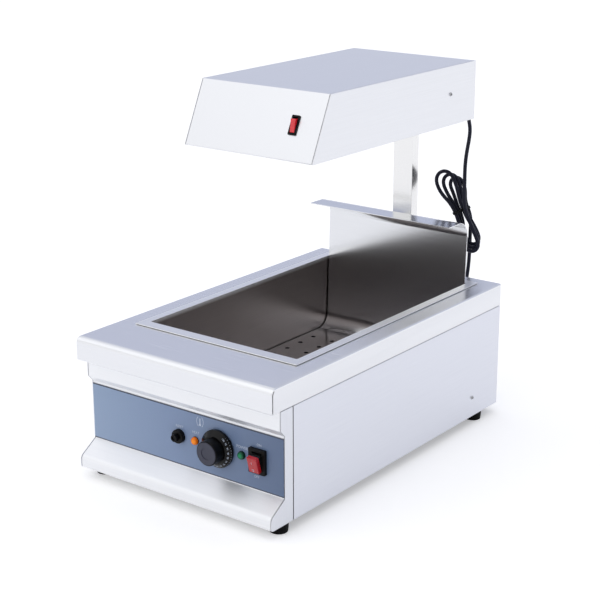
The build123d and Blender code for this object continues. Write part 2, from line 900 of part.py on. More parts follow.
with BuildPart() as knob_grip:
    with Locations(dial_face.offset(grip_start)):
        Cylinder(grip_radius, grip_length, align=MIN)
    fillet(knob_grip.edges().group_by(Axis.Y)[0], radius=grip_edge)
    with Locations(dial_face.offset(grip_front)):
        Cylinder(cap_radius + hole_gap, cap_sink, align=MAX, mode=Mode.SUBTRACT)
    with Locations(dial_face.offset(grip_start)):
        Cylinder(
            shaft_radius + hole_gap, shaft_reach - grip_start, align=MIN, mode=Mode.SUBTRACT
        )
keep(knob_grip.part, "knob_grip")

with BuildPart() as knob_cap:
    with Locations(dial_face.offset(grip_front - cap_sink)):
        Cylinder(cap_radius, cap_sink + cap_proud, align=MIN)
    fillet(knob_cap.edges().group_by(Axis.Y)[0], radius=cap_edge)
    with Locations(dial_face.offset(grip_front + cap_proud)):
        Cylinder(cap_dish_radius, cap_dish, align=MAX, mode=Mode.SUBTRACT)
keep(knob_cap.part, "knob_cap")

# High-limit cut-out with its nut and sprung reset button
reset_face = front_plane(reset_x, control_z)
with BuildPart() as reset_cutout:
    with Locations(reset_face.offset(-panel_stack)):
        Cylinder(reset_body_radius, reset_body_depth, align=MAX)
        Cylinder(reset_bush_radius - hole_gap, panel_stack + reset_bush_reach, align=MIN)
    drill([reset_face], button_stem_radius + fit_gap, button_stem_depth + 2 * panel_stack)
keep(reset_cutout.part, "reset_cutout")

with BuildPart() as reset_nut:
    with Locations(reset_face):
        Cylinder(reset_nut_radius, reset_nut_height, align=MIN)
    fillet(reset_nut.edges().group_by(Axis.Y)[0], radius=reset_nut_edge)
    drill([reset_face], reset_bush_radius, reset_nut_height)
keep(reset_nut.part, "reset_nut")

with BuildPart() as reset_button:
    with Locations(reset_face.offset(button_front)):
        Cylinder(button_radius, button_head, align=MAX)
        Cylinder(button_stem_radius, button_front + button_stem_depth, align=MAX)
    fillet(reset_button.edges().group_by(Axis.Y)[0], radius=button_edge)
    with Locations(reset_face.offset(button_front)):
        Cylinder(button_dish_radius, button_dish, align=MAX, mode=Mode.SUBTRACT)
keep(reset_button.part, "reset_button")


def indicator(name, x):
    """Panel indicator: a collared barrel through the sheet and a domed lens on it."""
    face = front_plane(x, control_z)
    with BuildPart() as body:
        with Locations(face):
            Cylinder(collar_radius, collar, align=MIN)
            Cylinder(barrel_radius - hole_gap, barrel_depth, align=MAX)
    with BuildPart() as lens:
        with Locations(face.offset(collar)):
            Cylinder(lens_radius, lens_height, align=MIN)
        fillet(lens.edges().group_by(Axis.Y)[0], radius=lens_round)
    keep(body.part, f"{name}_body")
    keep(lens.part, f"{name}_lens")


indicator("heat_lamp", heat_lamp_x)
indicator("power_lamp", power_lamp_x)


def switch_housing(face, frame, proud, opening, body, depth, pivot, throw):
    """Rocker switch housing: framed front, body behind the sheet, bearing holes for the pins."""
    cavity = pivot + rocker_heel + opening[1] / 2 * sin(radians(throw)) + rocker_floor
    with BuildPart() as housing:
        with BuildSketch(face):
            RectangleRounded(*frame, switch_corner)
        extrude(amount=proud)
        with BuildSketch(face):
            Rectangle(*body)
        extrude(amount=-depth)
        with BuildSketch(face.offset(proud)):
            Rectangle(*opening)
        extrude(amount=-cavity, mode=Mode.SUBTRACT)
        with Locations(Plane(face.offset(proud - pivot).origin, z_dir=face.x_dir)):
            Cylinder(
                rocker_pin_radius + fit_gap, opening[0] + 2 * rocker_pin + fit_gap,
                mode=Mode.SUBTRACT,
            )
    return housing.part


def rocker(face, proud, opening, pivot, crown, reach, tilt):
    """Flat-faced rocker that stands proud of its frame, tilted about its pins."""
    upwards = face.y_dir * cos(radians(tilt)) + face.z_dir * sin(radians(tilt))
    section = Plane(face.offset(proud - pivot).origin, x_dir=upwards, z_dir=face.x_dir)
    with BuildPart() as made:
        with BuildSketch(section):
            with Locations((0, -rocker_heel)):
                Rectangle(2 * reach, crown + rocker_heel, align=(Align.CENTER, Align.MIN))
        extrude(amount=opening[0] / 2 - rocker_gap, both=True)
        front = made.faces().sort_by(Axis(section.origin, section.y_dir))[-1]
        fillet(front.edges(), radius=rocker_edge)
        with Locations(section):
            Cylinder(rocker_pin_radius, opening[0] + 2 * rocker_pin - fit_gap)
    return made.part


panel_switch_face = front_plane(panel_switch_x, panel_switch_z)
keep(
    switch_housing(
        panel_switch_face, panel_switch_frame, panel_switch_proud, panel_switch_opening,
        panel_switch_body, panel_switch_depth, panel_switch_pivot, panel_switch_throw,
    ),
    "panel_switch_housing",
)
keep(
    rocker(
        panel_switch_face, panel_switch_proud, panel_switch_opening, panel_switch_pivot,
        panel_rocker_crown, panel_rocker_reach, panel_switch_throw,
    ),
    "panel_rocker",
)

# Post: square tube standing on the base plate, strapped to the back panel
socket_bolt_z = head_floor_z + socket_height / 2
socket_half_x = post_width / 2 + post_gap + socket_sheet
socket_bolt_plane = side_plane(1, post_y, socket_bolt_z, socket_half_x)
with BuildPart() as post:
    with BuildSketch(Plane.XY.offset(bottom_z + sheet)):
        with Locations((0, post_y)):
            Rectangle(post_width, post_depth)
            Rectangle(
                post_width - 2 * post_wall, post_depth - 2 * post_wall, mode=Mode.SUBTRACT
            )
    extrude(amount=head_floor_z + socket_height - bottom_z - sheet)
    drill([socket_bolt_plane], bolt_radius + hole_gap, 2 * socket_half_x)
keep(post.part, "post")

with BuildPart() as post_clamp:
    with BuildSketch(Plane.XY.offset(clamp_z - clamp_height / 2)):
        with Locations((0, rear_y - sheet)):
            Rectangle(
                post_width + 2 * (post_gap + clamp_sheet), post_depth + clamp_sheet,
                align=(Align.CENTER, Align.MAX),
            )
            Rectangle(
                post_width + 2 * (post_gap + clamp_sheet + clamp_ear), clamp_sheet,
                align=(Align.CENTER, Align.MAX),
            )
            Rectangle(
                post_width + 2 * post_gap, post_depth,
                align=(Align.CENTER, Align.MAX), mode=Mode.SUBTRACT,
            )
    extrude(amount=clamp_height)
    drill(clamp_bolt_planes, bolt_radius + hole_gap, sheet + 2 * clamp_sheet)
keep(post_clamp.part, "post_clamp")


def bolt(face, grip):
    """Add a bolt to the part being built: head on the face, nut behind the grip."""
    with Locations(face):
        Cylinder(bolt_head_radius, bolt_head, align=MIN)
        Cylinder(bolt_radius, grip + bolt_nut + bolt_tail, align=MAX)
    with BuildSketch(face.offset(-grip)) as nut:
        RegularPolygon(bolt_head_radius, 6)
    extrude(nut.sketch, amount=-bolt_nut)


with BuildPart() as post_bolts:
    for bolt_plane in clamp_bolt_planes:
        bolt(bolt_plane, sheet + clamp_sheet)
    bolt(socket_bolt_plane, 2 * socket_half_x)
keep(post_bolts.part, "post_bolts")

# Heat-lamp head: wrap-round cover, side plates, floor and the socket on the post
head_front_low = (head_front_low_y, head_low_z)
head_front_high = (head_front_high_y, head_high_z)
head_rear_high = (head_rear_y, head_high_z)
head_rear_low = (head_rear_y, head_low_z)
slope_run = head_front_high_y - head_front_low_y
slope_rise = head_high_z - head_low_z
slope_length = hypot(slope_run, slope_rise)
head_switch_y = head_front_low_y + head_switch_rise * slope_run / slope_rise
head_switch_face = Plane(
    origin=(head_switch_x, head_switch_y, head_low_z + head_switch_rise), x_dir=(1, 0, 0),
    z_dir=(0, -slope_rise / slope_length, slope_run / slope_length),
)
head_gland_face = rear_plane(head_gland_x, deck_z + head_gland_rise, head_rear_y)
head_screw_y = head_rear_y - head_screw_inset
head_screw_planes = [
    side_plane(side, head_screw_y, deck_z + head_screw_rise, head_half) for side in (-1, 1)
]
socket_front_y = post_y - socket_plate_reach
mouth_front_y = head_front_low_y + lamp_mouth_front_margin
mouth_length = socket_front_y - lamp_mouth_rear_gap - mouth_front_y
mouth_y = mouth_front_y + mouth_length / 2

with BuildPart() as head_cover:
    with BuildSketch(Plane.YZ):
        with BuildLine():
            FilletPolyline(
                (head_front_low_y + head_return, head_low_z), head_front_low, head_front_high,
                head_rear_high, head_rear_low, (head_rear_y - head_return, head_low_z),
                radius=head_fold,
            )
            offset(amount=head_sheet, side=Side.RIGHT)
        make_face()
    extrude(amount=head_inside - head_seam, both=True)
    with Locations(head_switch_face):
        Box(
            head_switch_body[0] + 2 * cutout_gap, head_switch_body[1] + 2 * cutout_gap,
            6 * head_sheet, mode=Mode.SUBTRACT,
        )
    with Locations((0, post_y, head_low_z)):
        Box(
            post_width + 2 * post_gap, post_depth + 2 * post_gap, 4 * head_sheet,
            mode=Mode.SUBTRACT,
        )
    drill([head_gland_face], relief_barrel_radius + hole_gap, 3 * head_sheet)
keep(head_cover.part, "head_cover")


def head_side(side):
    """Side plate of the head, flush with the cover's outline."""
    with BuildPart() as plate:
        with BuildSketch(Plane.YZ.offset(head_inside if side > 0 else -head_half)):
            with BuildLine():
                FilletPolyline(
                    head_front_low, head_front_high, head_rear_high, head_rear_low,
                    radius=head_fold, close=True,
                )
            make_face()
        extrude(amount=head_sheet)
        drill(head_screw_planes, screw_radius + hole_gap, screw_length)
    return plate.part


keep(head_side(-1), "head_side_left")
keep(head_side(1), "head_side_right")

with BuildPart() as head_base:
    with Locations((0, head_front_low_y + head_base_margin, head_low_z + head_sheet)):
        Box(
            2 * head_inside, head_rear_y - head_front_low_y - 2 * head_base_margin, head_sheet,
            align=(Align.CENTER, Align.MIN, Align.MIN),
        )
    with Locations((0, mouth_y, head_floor_z)):
        Box(lamp_mouth_width, mouth_length, 4 * head_sheet, mode=Mode.SUBTRACT)
    with Locations((0, post_y, head_floor_z)):
        Box(
            post_width + 2 * post_gap, post_depth + 2 * post_gap, 4 * head_sheet,
            mode=Mode.SUBTRACT,
        )
keep(head_base.part, "head_base")

socket_rear_y = post_y + post_depth / 2 + post_gap + socket_sheet
with BuildPart() as head_socket:
    with Locations((0, socket_front_y, head_floor_z)):
        Box(
            2 * head_inside, socket_rear_y - socket_front_y, socket_sheet,
            align=(Align.CENTER, Align.MIN, Align.MIN),
        )
    with Locations((0, post_y, head_floor_z)):
        Box(
            post_width + 2 * (post_gap + socket_sheet), post_depth + 2 * (post_gap + socket_sheet),
            socket_height, align=MIN,
        )
        Box(
            post_width + 2 * post_gap, post_depth + 2 * post_gap, socket_height, align=MIN,
            mode=Mode.SUBTRACT,
        )
    for side in (-1, 1):
        with Locations((side * head_inside, head_screw_y, head_floor_z)):
            Box(
                socket_sheet, socket_tab, socket_tab_height,
                align=(Align.MAX if side > 0 else Align.MIN, Align.CENTER, Align.MIN),
            )
    drill(head_screw_planes, screw_radius + hole_gap, screw_length)
    drill([socket_bolt_plane], bolt_radius + hole_gap, 2 * socket_half_x + socket_sheet)
keep(head_socket.part, "head_socket")
keep(screws(head_screw_planes), "head_screws")

# Reflector trough, quartz lamps in ceramic holders, and the slotted guard under them
reflector_end = front_plane(0, head_floor_z, mouth_front_y)
with BuildPart() as reflector:
    with BuildSketch(reflector_end.offset(reflector_sheet)):
        Polygon(
            (-lamp_mouth_width / 2 - reflector_sheet, 0),
            (lamp_mouth_width / 2 + reflector_sheet, 0),
            (reflector_top_width / 2 + reflector_sheet, reflector_height + reflector_sheet),
            (-reflector_top_width / 2 - reflector_sheet, reflector_height + reflector_sheet),
            align=None,
        )
    extrude(amount=-mouth_length - 2 * reflector_sheet)
    with Locations((0, mouth_y, head_floor_z)):
        Box(
            lamp_mouth_width + 2 * reflector_flange, mouth_length + 2 * reflector_flange,
            reflector_sheet, align=MIN,
        )
    with BuildSketch(reflector_end):
        Polygon(
            (-lamp_mouth_width / 2, 0), (lamp_mouth_width / 2, 0),
            (reflector_top_width / 2, reflector_height),
            (-reflector_top_width / 2, reflector_height), align=None,
        )
    extrude(amount=-mouth_length, mode=Mode.SUBTRACT)
keep(reflector.part, "reflector")

lamp_z = head_floor_z + lamp_rise
lamp_length = mouth_length - 2 * lamp_end_margin
lamp_planes = [
    rear_plane(side * lamp_x, lamp_z, mouth_front_y + lamp_end_margin) for side in (-1, 1)
]
with BuildPart() as quartz_lamps:
    with Locations(*lamp_planes):
        Cylinder(lamp_radius, lamp_length, align=MIN)
keep(quartz_lamps.part, "quartz_lamps")

holder_drop = lamp_radius + holder_floor
holder_height = reflector_height - lamp_rise + holder_drop
holder_offset = lamp_length / 2 + holder_floor - holder_length / 2
with BuildPart() as lamp_holders:
    with Locations((0, mouth_y, lamp_z - holder_drop)):
        with GridLocations(2 * lamp_x, 2 * holder_offset, 2, 2):
            Box(holder_width, holder_length, holder_height, align=MIN)
    with Locations(*lamp_planes):
        Cylinder(lamp_radius + hole_gap, lamp_length, align=MIN, mode=Mode.SUBTRACT)
keep(lamp_holders.part, "lamp_holders")

with BuildPart() as lamp_guard:
    with BuildSketch(Plane.XY.offset(head_low_z)):
        with Locations((0, mouth_y)):
            Rectangle(lamp_mouth_width + 2 * guard_margin, mouth_length + 2 * guard_margin)
            with GridLocations(
                guard_slot_pitch_x, guard_slot_pitch_y, guard_slot_columns, guard_slot_rows
            ):
                RectangleRounded(
                    guard_slot_width, guard_slot_length, guard_slot_round, mode=Mode.SUBTRACT
                )
    extrude(amount=head_sheet)
keep(lamp_guard.part, "lamp_guard")

keep(
    switch_housing(
        head_switch_face, head_switch_frame, head_switch_proud, head_switch_opening,
        head_switch_body, head_switch_depth, head_switch_pivot, head_switch_throw,
    ),
    "head_switch_housing",
)
keep(
    rocker(
        head_switch_face, head_switch_proud, head_switch_opening, head_switch_pivot,
        head_rocker_crown, head_rocker_reach, head_switch_throw,
    ),
    "head_rocker",
)

# Lamp lead: reliefs at both ends, two free stretches and the tied hank between them
head_gland_way = Vector(0, cos(radians(head_gland_slope)), -sin(radians(head_gland_slope)))
base_gland_way = Vector(0, cos(radians(base_gland_slope)), sin(radians(base_gland_slope)))
head_gland_tip = head_gland_face.origin + head_gland_way * relief_length
base_gland_tip = base_gland_face.origin + base_gland_way * relief_length


def relief(face, way, wall):
    """Cord relief: domed flange on a rear face, tapered sleeve along the cord, nut inside."""
    with BuildPart() as made:
        with Locations(face):
            Sphere(relief_dome_radius)
        with Locations(Plane(face.origin, z_dir=way)):
            Cone(relief_root_radius, relief_tip_radius, relief_length, align=MIN)
        split(bisect_by=face, keep=Keep.TOP)
        with Locations(face):
            Cylinder(relief_flange_radius, relief_flange, align=MIN)
            Cylinder(relief_barrel_radius, relief_barrel_depth, align=MAX)
        with BuildSketch(face.offset(-wall)):
            RegularPolygon(relief_nut_radius, 6)
        extrude(amount=-relief_nut)
    return made.part


keep(relief(head_gland_face, head_gland_way, head_sheet), "head_gland")
keep(relief(base_gland_face, base_gland_way, sheet), "base_gland")


def report_tube(name, piece, length):
    """Print a tube's volume beside its section times its length."""
    section = pi * lead_diameter**2 / 4
    print(f"{name}: length {length:.1f}, volume {piece.volume:.0f}, expected {section * length:.0f}")


def lead_stretch(name, points):
    """One free stretch of the lead: straight runs joined by tangent arcs."""
    points = [Vector(point) for point in points]
    runs = [after - before for before, after in zip(points, points[1:])]
    bends = []
    for before, after in zip(runs, runs[1:]):
        half_turn = radians(before.get_angle(after)) / 2
        bends.append(lead_run_share * min(before.length, after.length) / tan(half_turn))
    with BuildPart() as made:
        with BuildLine() as path:
            FilletPolyline(*points, radius=bends)
        with BuildSketch(Plane(origin=points[0], z_dir=runs[0])):
            Circle(lead_diameter / 2)
        sweep()
    print(f"{name}: bend radii", [round(bend, 1) for bend in bends])
    report_tube(name, made.part, path.wire().length)
    keep(made.part, name)


down = Vector(0, 0, -1)
hank_start = Vector(hank_entry)
hank_end = Vector(hank_exit)
lead_stretch("lead_upper", [
    head_gland_tip, head_gland_tip + head_gland_way * lead_lead_in, *lead_upper_places,
    hank_start - down * lead_lead_in, hank_start,
])
lead_stretch("lead_lower", [
    hank_end, hank_end + down * lead_lead_in, *lead_lower_places,
    base_gland_tip + base_gland_way * lead_lead_in, base_gland_tip,
])

hank_up = Vector(-sin(radians(hank_lean)), 0, cos(radians(hank_lean)))
hank_side = Vector(cos(radians(hank_lean)), 0, sin(radians(hank_lean)))


def hank_point(along, across, turn):
    """A point of the hank: along its length, across it, and on the plane of a turn's number."""
    middle = Vector(hank_middle[0], hank_start.Y + hank_climb * turn, hank_middle[1])
    return middle + hank_up * along + hank_side * across


def biarc(start, start_way, end, end_way):
    """Two arcs, tangent to each other and to the directions at both ends."""
    chord = end - start
    bend = 1 - start_way.dot(end_way)
    along = chord.dot(start_way + end_way)
    span = chord.dot(chord)
    if bend < parallel_limit:
        reach = span / (2 * along)
    else:
        reach = (sqrt(along**2 + 2 * bend * span) - along) / (2 * bend)
    joint = (start + end + (start_way - end_way) * reach) * 0.5
    first = TangentArc(start, joint, tangent=start_way)
    TangentArc(joint, end, tangent=first % 1)


def hank_stations():
    """Points and directions the lead passes: fold ends and waist crossings, loop by loop."""
    stations = [(hank_start + down * lead_diameter, down)]
    for loop in range(hank_loops):
        low = -(hank_low_length - hank_low_shrink * loop)
        low_shift = hank_low_shift + hank_low_fan * loop
        low_fold = hank_low_fold - hank_low_fold_shrink * loop
        top = hank_top_length - hank_top_shrink * loop
        top_shift = hank_top_shift + hank_top_fan * loop
        top_fold = hank_top_fold - hank_top_fold_shrink * loop
        turn = 2 * loop + 1
        if loop > 0:
            stations.append((hank_point(0, hank_waist, turn - 0.5), -hank_up))
        stations.append((hank_point(low, low_shift + low_fold, turn), -hank_up))
        stations.append((hank_point(low, low_shift - low_fold, turn), hank_up))
        stations.append((hank_point(0, -hank_waist, turn + 0.5), hank_up))
        stations.append((hank_point(top, top_shift - top_fold, turn + 1), hank_up))
        stations.append((hank_point(top, top_shift + top_fold, turn + 1), -hank_up))
    stations.append((hank_point(0, hank_waist, 2 * hank_loops + 0.5), -hank_up))
    stations.append((hank_end - down * lead_diameter, down))
    return stations


with BuildPart() as lead_hank:
    with BuildLine() as hank_path:
        stations = hank_stations()
        Line(hank_start, stations[0][0])
        for (start, start_way), (end, end_way) in zip(stations, stations[1:]):
            biarc(start, start_way, end, end_way)
        Line(stations[-1][0], hank_end)
    with BuildSketch(Plane(origin=hank_start, z_dir=down)):
        Circle(lead_diameter / 2)
    sweep()
hank_wire = hank_path.wire()
report_tube("lead_hank", lead_hank.part, hank_wire.length)
keep(lead_hank.part, "lead_hank")

# Least distance of the hank to itself, between points that aren't neighbours along the cord
hank_steps = int(hank_wire.length / gap_step)
hank_points = [tuple(hank_wire @ (step / hank_steps)) for step in range(hank_steps + 1)]
apart = int(3 * lead_diameter / gap_step)
closest = min(
    sqrt((a[0] - b[0])**2 + (a[1] - b[1])**2 + (a[2] - b[2])**2)
    for place, a in enumerate(hank_points)
    for b in hank_points[place + apart:]
)
tightest = min(
    edge.radius for edge in hank_path.edges() if edge.geom_type == GeomType.CIRCLE
)
print(f"lead_hank: least gap to itself {closest - lead_diameter:.2f}, tightest bend {tightest:.1f}")

tie_half = lead_diameter / 2 + tie_gap
tie_x = 2 * (hank_waist + tie_half)
tie_y = 2 * (hank_climb * (hank_loops - 0.5) + tie_half)
tie_plane = Plane(hank_point(0, 0, hank_loops + 1), x_dir=hank_side, z_dir=hank_up)
with BuildPart() as lead_tie:
    with BuildSketch(tie_plane.offset(-tie_width / 2)):
        RectangleRounded(tie_x + 2 * tie_wall, tie_y + 2 * tie_wall, tie_half + tie_wall)
        RectangleRounded(tie_x, tie_y, tie_half, mode=Mode.SUBTRACT)
    extrude(amount=tie_width)
keep(lead_tie.part, "lead_tie")
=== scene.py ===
# %% [markdown]
# # A chip scuttle, dressed for its picture
# A chip scuttle keeps fried chips warm on a counter: a heated steel well, a loose perforated
# insert, and a lamp head on a post behind them. The solids come from a CAD model and stay where
# they are. This lesson gives them light, a camera, finishes and the small printed details.
# Lengths are in metres, or in millimetres where a name ends in mm. Most places are measured from
# three planes, so these get their names first: the front lip, the back panel and the deck's top.

# %% Load the solids
from math import cos, pi, radians, sin, sqrt

import bpy
from mathutils import Matrix, Vector


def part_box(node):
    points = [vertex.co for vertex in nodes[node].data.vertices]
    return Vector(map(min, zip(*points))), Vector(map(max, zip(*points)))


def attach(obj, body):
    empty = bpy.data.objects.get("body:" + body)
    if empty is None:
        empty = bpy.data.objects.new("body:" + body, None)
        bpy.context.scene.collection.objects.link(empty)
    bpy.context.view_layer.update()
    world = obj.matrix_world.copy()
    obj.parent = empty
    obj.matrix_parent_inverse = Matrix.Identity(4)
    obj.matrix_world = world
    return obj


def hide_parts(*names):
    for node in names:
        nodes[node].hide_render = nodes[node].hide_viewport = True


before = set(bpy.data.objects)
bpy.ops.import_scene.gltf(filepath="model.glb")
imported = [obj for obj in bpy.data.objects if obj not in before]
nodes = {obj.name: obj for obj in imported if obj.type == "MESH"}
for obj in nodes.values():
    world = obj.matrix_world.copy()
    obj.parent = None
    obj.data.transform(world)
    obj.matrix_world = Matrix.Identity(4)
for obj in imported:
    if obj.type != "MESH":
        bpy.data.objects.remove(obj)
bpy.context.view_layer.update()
front_y, rear_y, deck_z = -0.340, 0.322, 0.244

# %% [markdown]
# ## The camera
# The photograph was taken from the operator's right, a little above the deck. A camera can be
# dragged into place by eye, but its perspective is then never quite right. This one's place was
# found by matching straight edges of the object to their pixels, so the lens is written as a focal
# length in pixels of a 600-pixel frame and turned into millimetres on a 36 mm sensor.

# %% Camera
def put(name, data):
    """Make an object from its data and put it in the scene."""
    made = bpy.data.objects.new(name, data)
    bpy.context.scene.collection.objects.link(made)
    return made


azimuth, elevation, roll = radians(37.250), radians(17.630), radians(-0.109)
aim = Vector((0.0, -0.010, 0.304))
distance, slide_right, slide_up = 2.5152, 0.00084, -0.04217
focal_pixels, frame_pixels, sensor_mm = 1492.37, 600, 36.0
back = Vector((sin(azimuth) * cos(elevation), -cos(azimuth) * cos(elevation), sin(elevation)))
level = Vector((cos(azimuth), sin(azimuth), 0.0))
lift = back.cross(level)
right = cos(roll) * level + sin(roll) * lift
up = cos(roll) * lift - sin(roll) * level
camera_place = aim + back * distance + right * slide_right + up * slide_up
camera_turn = Matrix((right, up, back)).transposed().to_4x4()
camera = put("camera", bpy.data.cameras.new("camera"))
camera.matrix_world = Matrix.Translation(camera_place) @ camera_turn
camera.data.sensor_width = sensor_mm
camera.data.lens = focal_pixels * sensor_mm / frame_pixels
bpy.context.scene.camera = camera
bpy.context.scene.view_settings.view_transform = "Standard"
print("camera at", [round(v, 3) for v in camera_place], "lens", round(camera.data.lens, 2))

# %% [markdown]
# ## The lamp lead
# The lamp head is fed by a round black cord. It leaves a relief on the head's back, hangs down to
# a loosely tied hank, and goes on into the base. A tube of straight runs and arcs looks like bent
# wire, so the cord is one NURBS curve of order 3: its control points are the corners of the route,
# and the cord swings smoothly inside them. The first corners are those of the two short stretches
# between the reliefs and the hank.

# %% Route above and below the hank
lead_diameter = 0.0068
relief_length, lead_in = 0.028, 0.018
head_relief_dip, base_relief_rise = radians(65), radians(60)
head_relief_way = Vector((0, cos(head_relief_dip), -sin(head_relief_dip)))
base_relief_way = Vector((0, cos(base_relief_rise), sin(base_relief_rise)))
head_relief_root = Vector((0.1105, rear_y + 0.007, deck_z + 0.312))
base_relief_root = Vector((0.110, rear_y, deck_z - 0.078))
head_relief_tip = head_relief_root + head_relief_way * relief_length
base_relief_tip = base_relief_root + base_relief_way * relief_length
down = Vector((0, 0, -1))
hank_start = Vector((0.1070, 0.3410, 0.3940))
hank_end = Vector((0.1045, 0.3705, 0.2900))
upper_route = [
    head_relief_tip, head_relief_tip + head_relief_way * lead_in, Vector((0.1080, 0.3510, 0.4930)),
    Vector((0.1042, 0.3506, 0.4710)), Vector((0.1029, 0.3480, 0.4490)),
    Vector((0.1048, 0.3440, 0.4285)), hank_start - down * lead_in,
]
lower_route = [
    hank_end + down * lead_in, Vector((0.1056, 0.3660, 0.2480)), Vector((0.1076, 0.3575, 0.2265)),
    base_relief_tip + base_relief_way * lead_in, base_relief_tip,
]
print("corners above and below the hank", len(upper_route), len(lower_route))

# %% [markdown]
# The hank is wound in three long loops, drawn in at the waist by its tie. Straight runs and round
# arcs would look like bent wire here too, so only corners are worked out: four for each fold, like
# half an octagon drawn round it, and two for each run between a fold and the waist. The turns lie
# one behind the other, so every plane of the hank has a turn's number.

# %% Corners of a fold and of a run
hank_x, hank_z, hank_lean = 0.0930, 0.3560, radians(28.9)
hank_climb, hank_waist = 0.0039, 0.0080
hank_up = Vector((-sin(hank_lean), 0, cos(hank_lean)))
hank_side = Vector((cos(hank_lean), 0, sin(hank_lean)))
octagon_step, no_bend = pi / 8, 1e-9


def hank_point(along, across, turn):
    """A place in the hank: along it, across it, and on the plane of a turn's number."""
    middle = Vector((hank_x, hank_start.y + hank_climb * turn, hank_z))
    return middle + hank_up * along + hank_side * across


def fold_corners(along, shift, half, turn, way):
    """Four corners round one fold, from the right-hand run to the left (-1) or back again (+1)."""
    reach = half / cos(octagon_step)
    corners = []
    for step in (1, 3, 5, 7):
        over, beside = reach * sin(octagon_step * step), reach * cos(octagon_step * step)
        corners.append(hank_point(along + way * over, shift - way * beside, turn))
    return corners


def run_corners(start, start_way, end, end_way):
    """Two corners from one point and direction to another, each as far from its own end."""
    chord = end - start
    bend = 1 - start_way.dot(end_way)
    along = chord.dot(start_way + end_way)
    span = chord.dot(chord)
    if bend < no_bend:
        reach = span / (2 * along)
    else:
        reach = (sqrt(along**2 + 2 * bend * span) - along) / (2 * bend)
    return [start + start_way * reach, end - end_way * reach]


print("hank climbs", hank_climb, "a turn")

# %% [markdown]
# Three sizes place a fold: how far it lies along the hank from the tie, its shift to the side, and
# half its width. No two folds are alike, because a hand never folds two loops the same. Every run
# is drawn in to the waist at the tie, half-way between the planes of its two folds.

# %% Route of the hank
low_folds = ((-0.0620, -0.0010, 0.0150), (-0.0570, -0.0020, 0.0143), (-0.0520, -0.0030, 0.0136))
top_folds = ((0.0600, -0.0030, 0.0190), (0.0530, 0.0020, 0.0165), (0.0460, 0.0070, 0.0140))
hank_route = []
here, heading = hank_start + down * lead_diameter, down
for loop, (low_fold, top_fold) in enumerate(zip(low_folds, top_folds)):
    turn = 2 * loop + 1
    low, low_shift, low_half = low_fold
    top, top_shift, top_half = top_fold
    if loop > 0:
        waist = hank_point(0, hank_waist, turn - 0.5)
        hank_route += run_corners(here, heading, waist, -hank_up)
        here, heading = waist, -hank_up
    fold_start = hank_point(low, low_shift + low_half, turn)
    fold_end = hank_point(low, low_shift - low_half, turn)
    waist = hank_point(0, -hank_waist, turn + 0.5)
    hank_route += run_corners(here, heading, fold_start, -hank_up)
    hank_route += fold_corners(low, low_shift, low_half, turn, -1)
    hank_route += run_corners(fold_end, hank_up, waist, hank_up)
    fold_start = hank_point(top, top_shift - top_half, turn + 1)
    hank_route += run_corners(waist, hank_up, fold_start, hank_up)
    hank_route += fold_corners(top, top_shift, top_half, turn + 1, 1)
    here, heading = hank_point(top, top_shift + top_half, turn + 1), -hank_up
waist = hank_point(0, hank_waist, 2 * len(low_folds) + 0.5)
hank_route += run_corners(here, heading, waist, -hank_up)
hank_route += run_corners(waist, -hank_up, hank_end - down * lead_diameter, down)
print("corners in the hank", len(hank_route))

# %% [markdown]
# The curve takes all the corners in order. Its bevel is 1, and the points' own radius gives the
# thickness, because Blender measures a curve's box with the points. The order is set after the
# points are there, or the spline would stay at order 2, which is straight runs.

# %% Lamp lead
lead_route = upper_route + hank_route + lower_route
lead_curve = bpy.data.curves.new("lamp_lead", "CURVE")
lead_curve.dimensions = "3D"
lead_curve.bevel_depth = 1.0
lead_curve.bevel_resolution = 5
lead_curve.resolution_u = 10
spline = lead_curve.splines.new("NURBS")
spline.points.add(len(lead_route) - 1)
for point, corner in zip(spline.points, lead_route):
    point.co = (*corner, 1.0)
    point.radius = lead_diameter / 2
spline.order_u = 3
spline.use_endpoint_u = True
lamp_lead = put("lamp_lead", lead_curve)
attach(lamp_lead, "base")
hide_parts("lead_upper", "lead_hank", "lead_lower")
print("lead corners", len(lead_route))

# %% [markdown]
# ## Colours, nodes and finishes
# Every finish is a small tree of shader nodes, and four helpers keep it short. Colours are written
# as the sRGB codes that a paint chart or a picture editor shows, and one function turns them into
# the linear numbers that a shader works with. The next adds one node with its settings and links,
# so that a finish reads as a list of nodes. The last two start an empty finish and give a finish
# to solids.

# %% Helpers for colours, nodes and finishes
def ink(code):
    """An sRGB hex colour as linear red, green, blue and alpha, by the standard's own curve."""
    channels = [int(code[place:place + 2], 16) / 255 for place in (1, 3, 5)]
    linear = [c / 12.92 if c <= 0.04045 else ((c + 0.055) / 1.055)**2.4 for c in channels]
    return (*linear, 1.0)


def add(tree, kind, inputs=None, stops=None, **settings):
    """Add a node: settings are its properties, inputs are values or sockets, stops fill a ramp."""
    made = tree.nodes.new(kind)
    for name, value in settings.items():
        setattr(made, name, value)
    for name, value in (inputs or {}).items():
        if isinstance(value, bpy.types.NodeSocket):
            tree.links.new(value, made.inputs[name])
        else:
            made.inputs[name].default_value = value
    if stops:
        ends = made.color_ramp.elements
        ends[0].position, ends[0].color = stops[0]
        ends[1].position, ends[1].color = stops[-1]
        for place, colour in stops[1:-1]:
            ends.new(place).color = colour
    return made


def new_finish(name):
    """An empty material and its node tree."""
    finish = bpy.data.materials.new(name)
    finish.use_nodes = True
    finish.node_tree.nodes.clear()
    return finish, finish.node_tree


def dress(finish, *names):
    """Give CAD solids a finish."""
    for name in names:
        nodes[name].data.materials[0] = finish
    print(finish.name, "on", len(names))


print("mid grey is", [round(v, 3) for v in ink("#808080")])

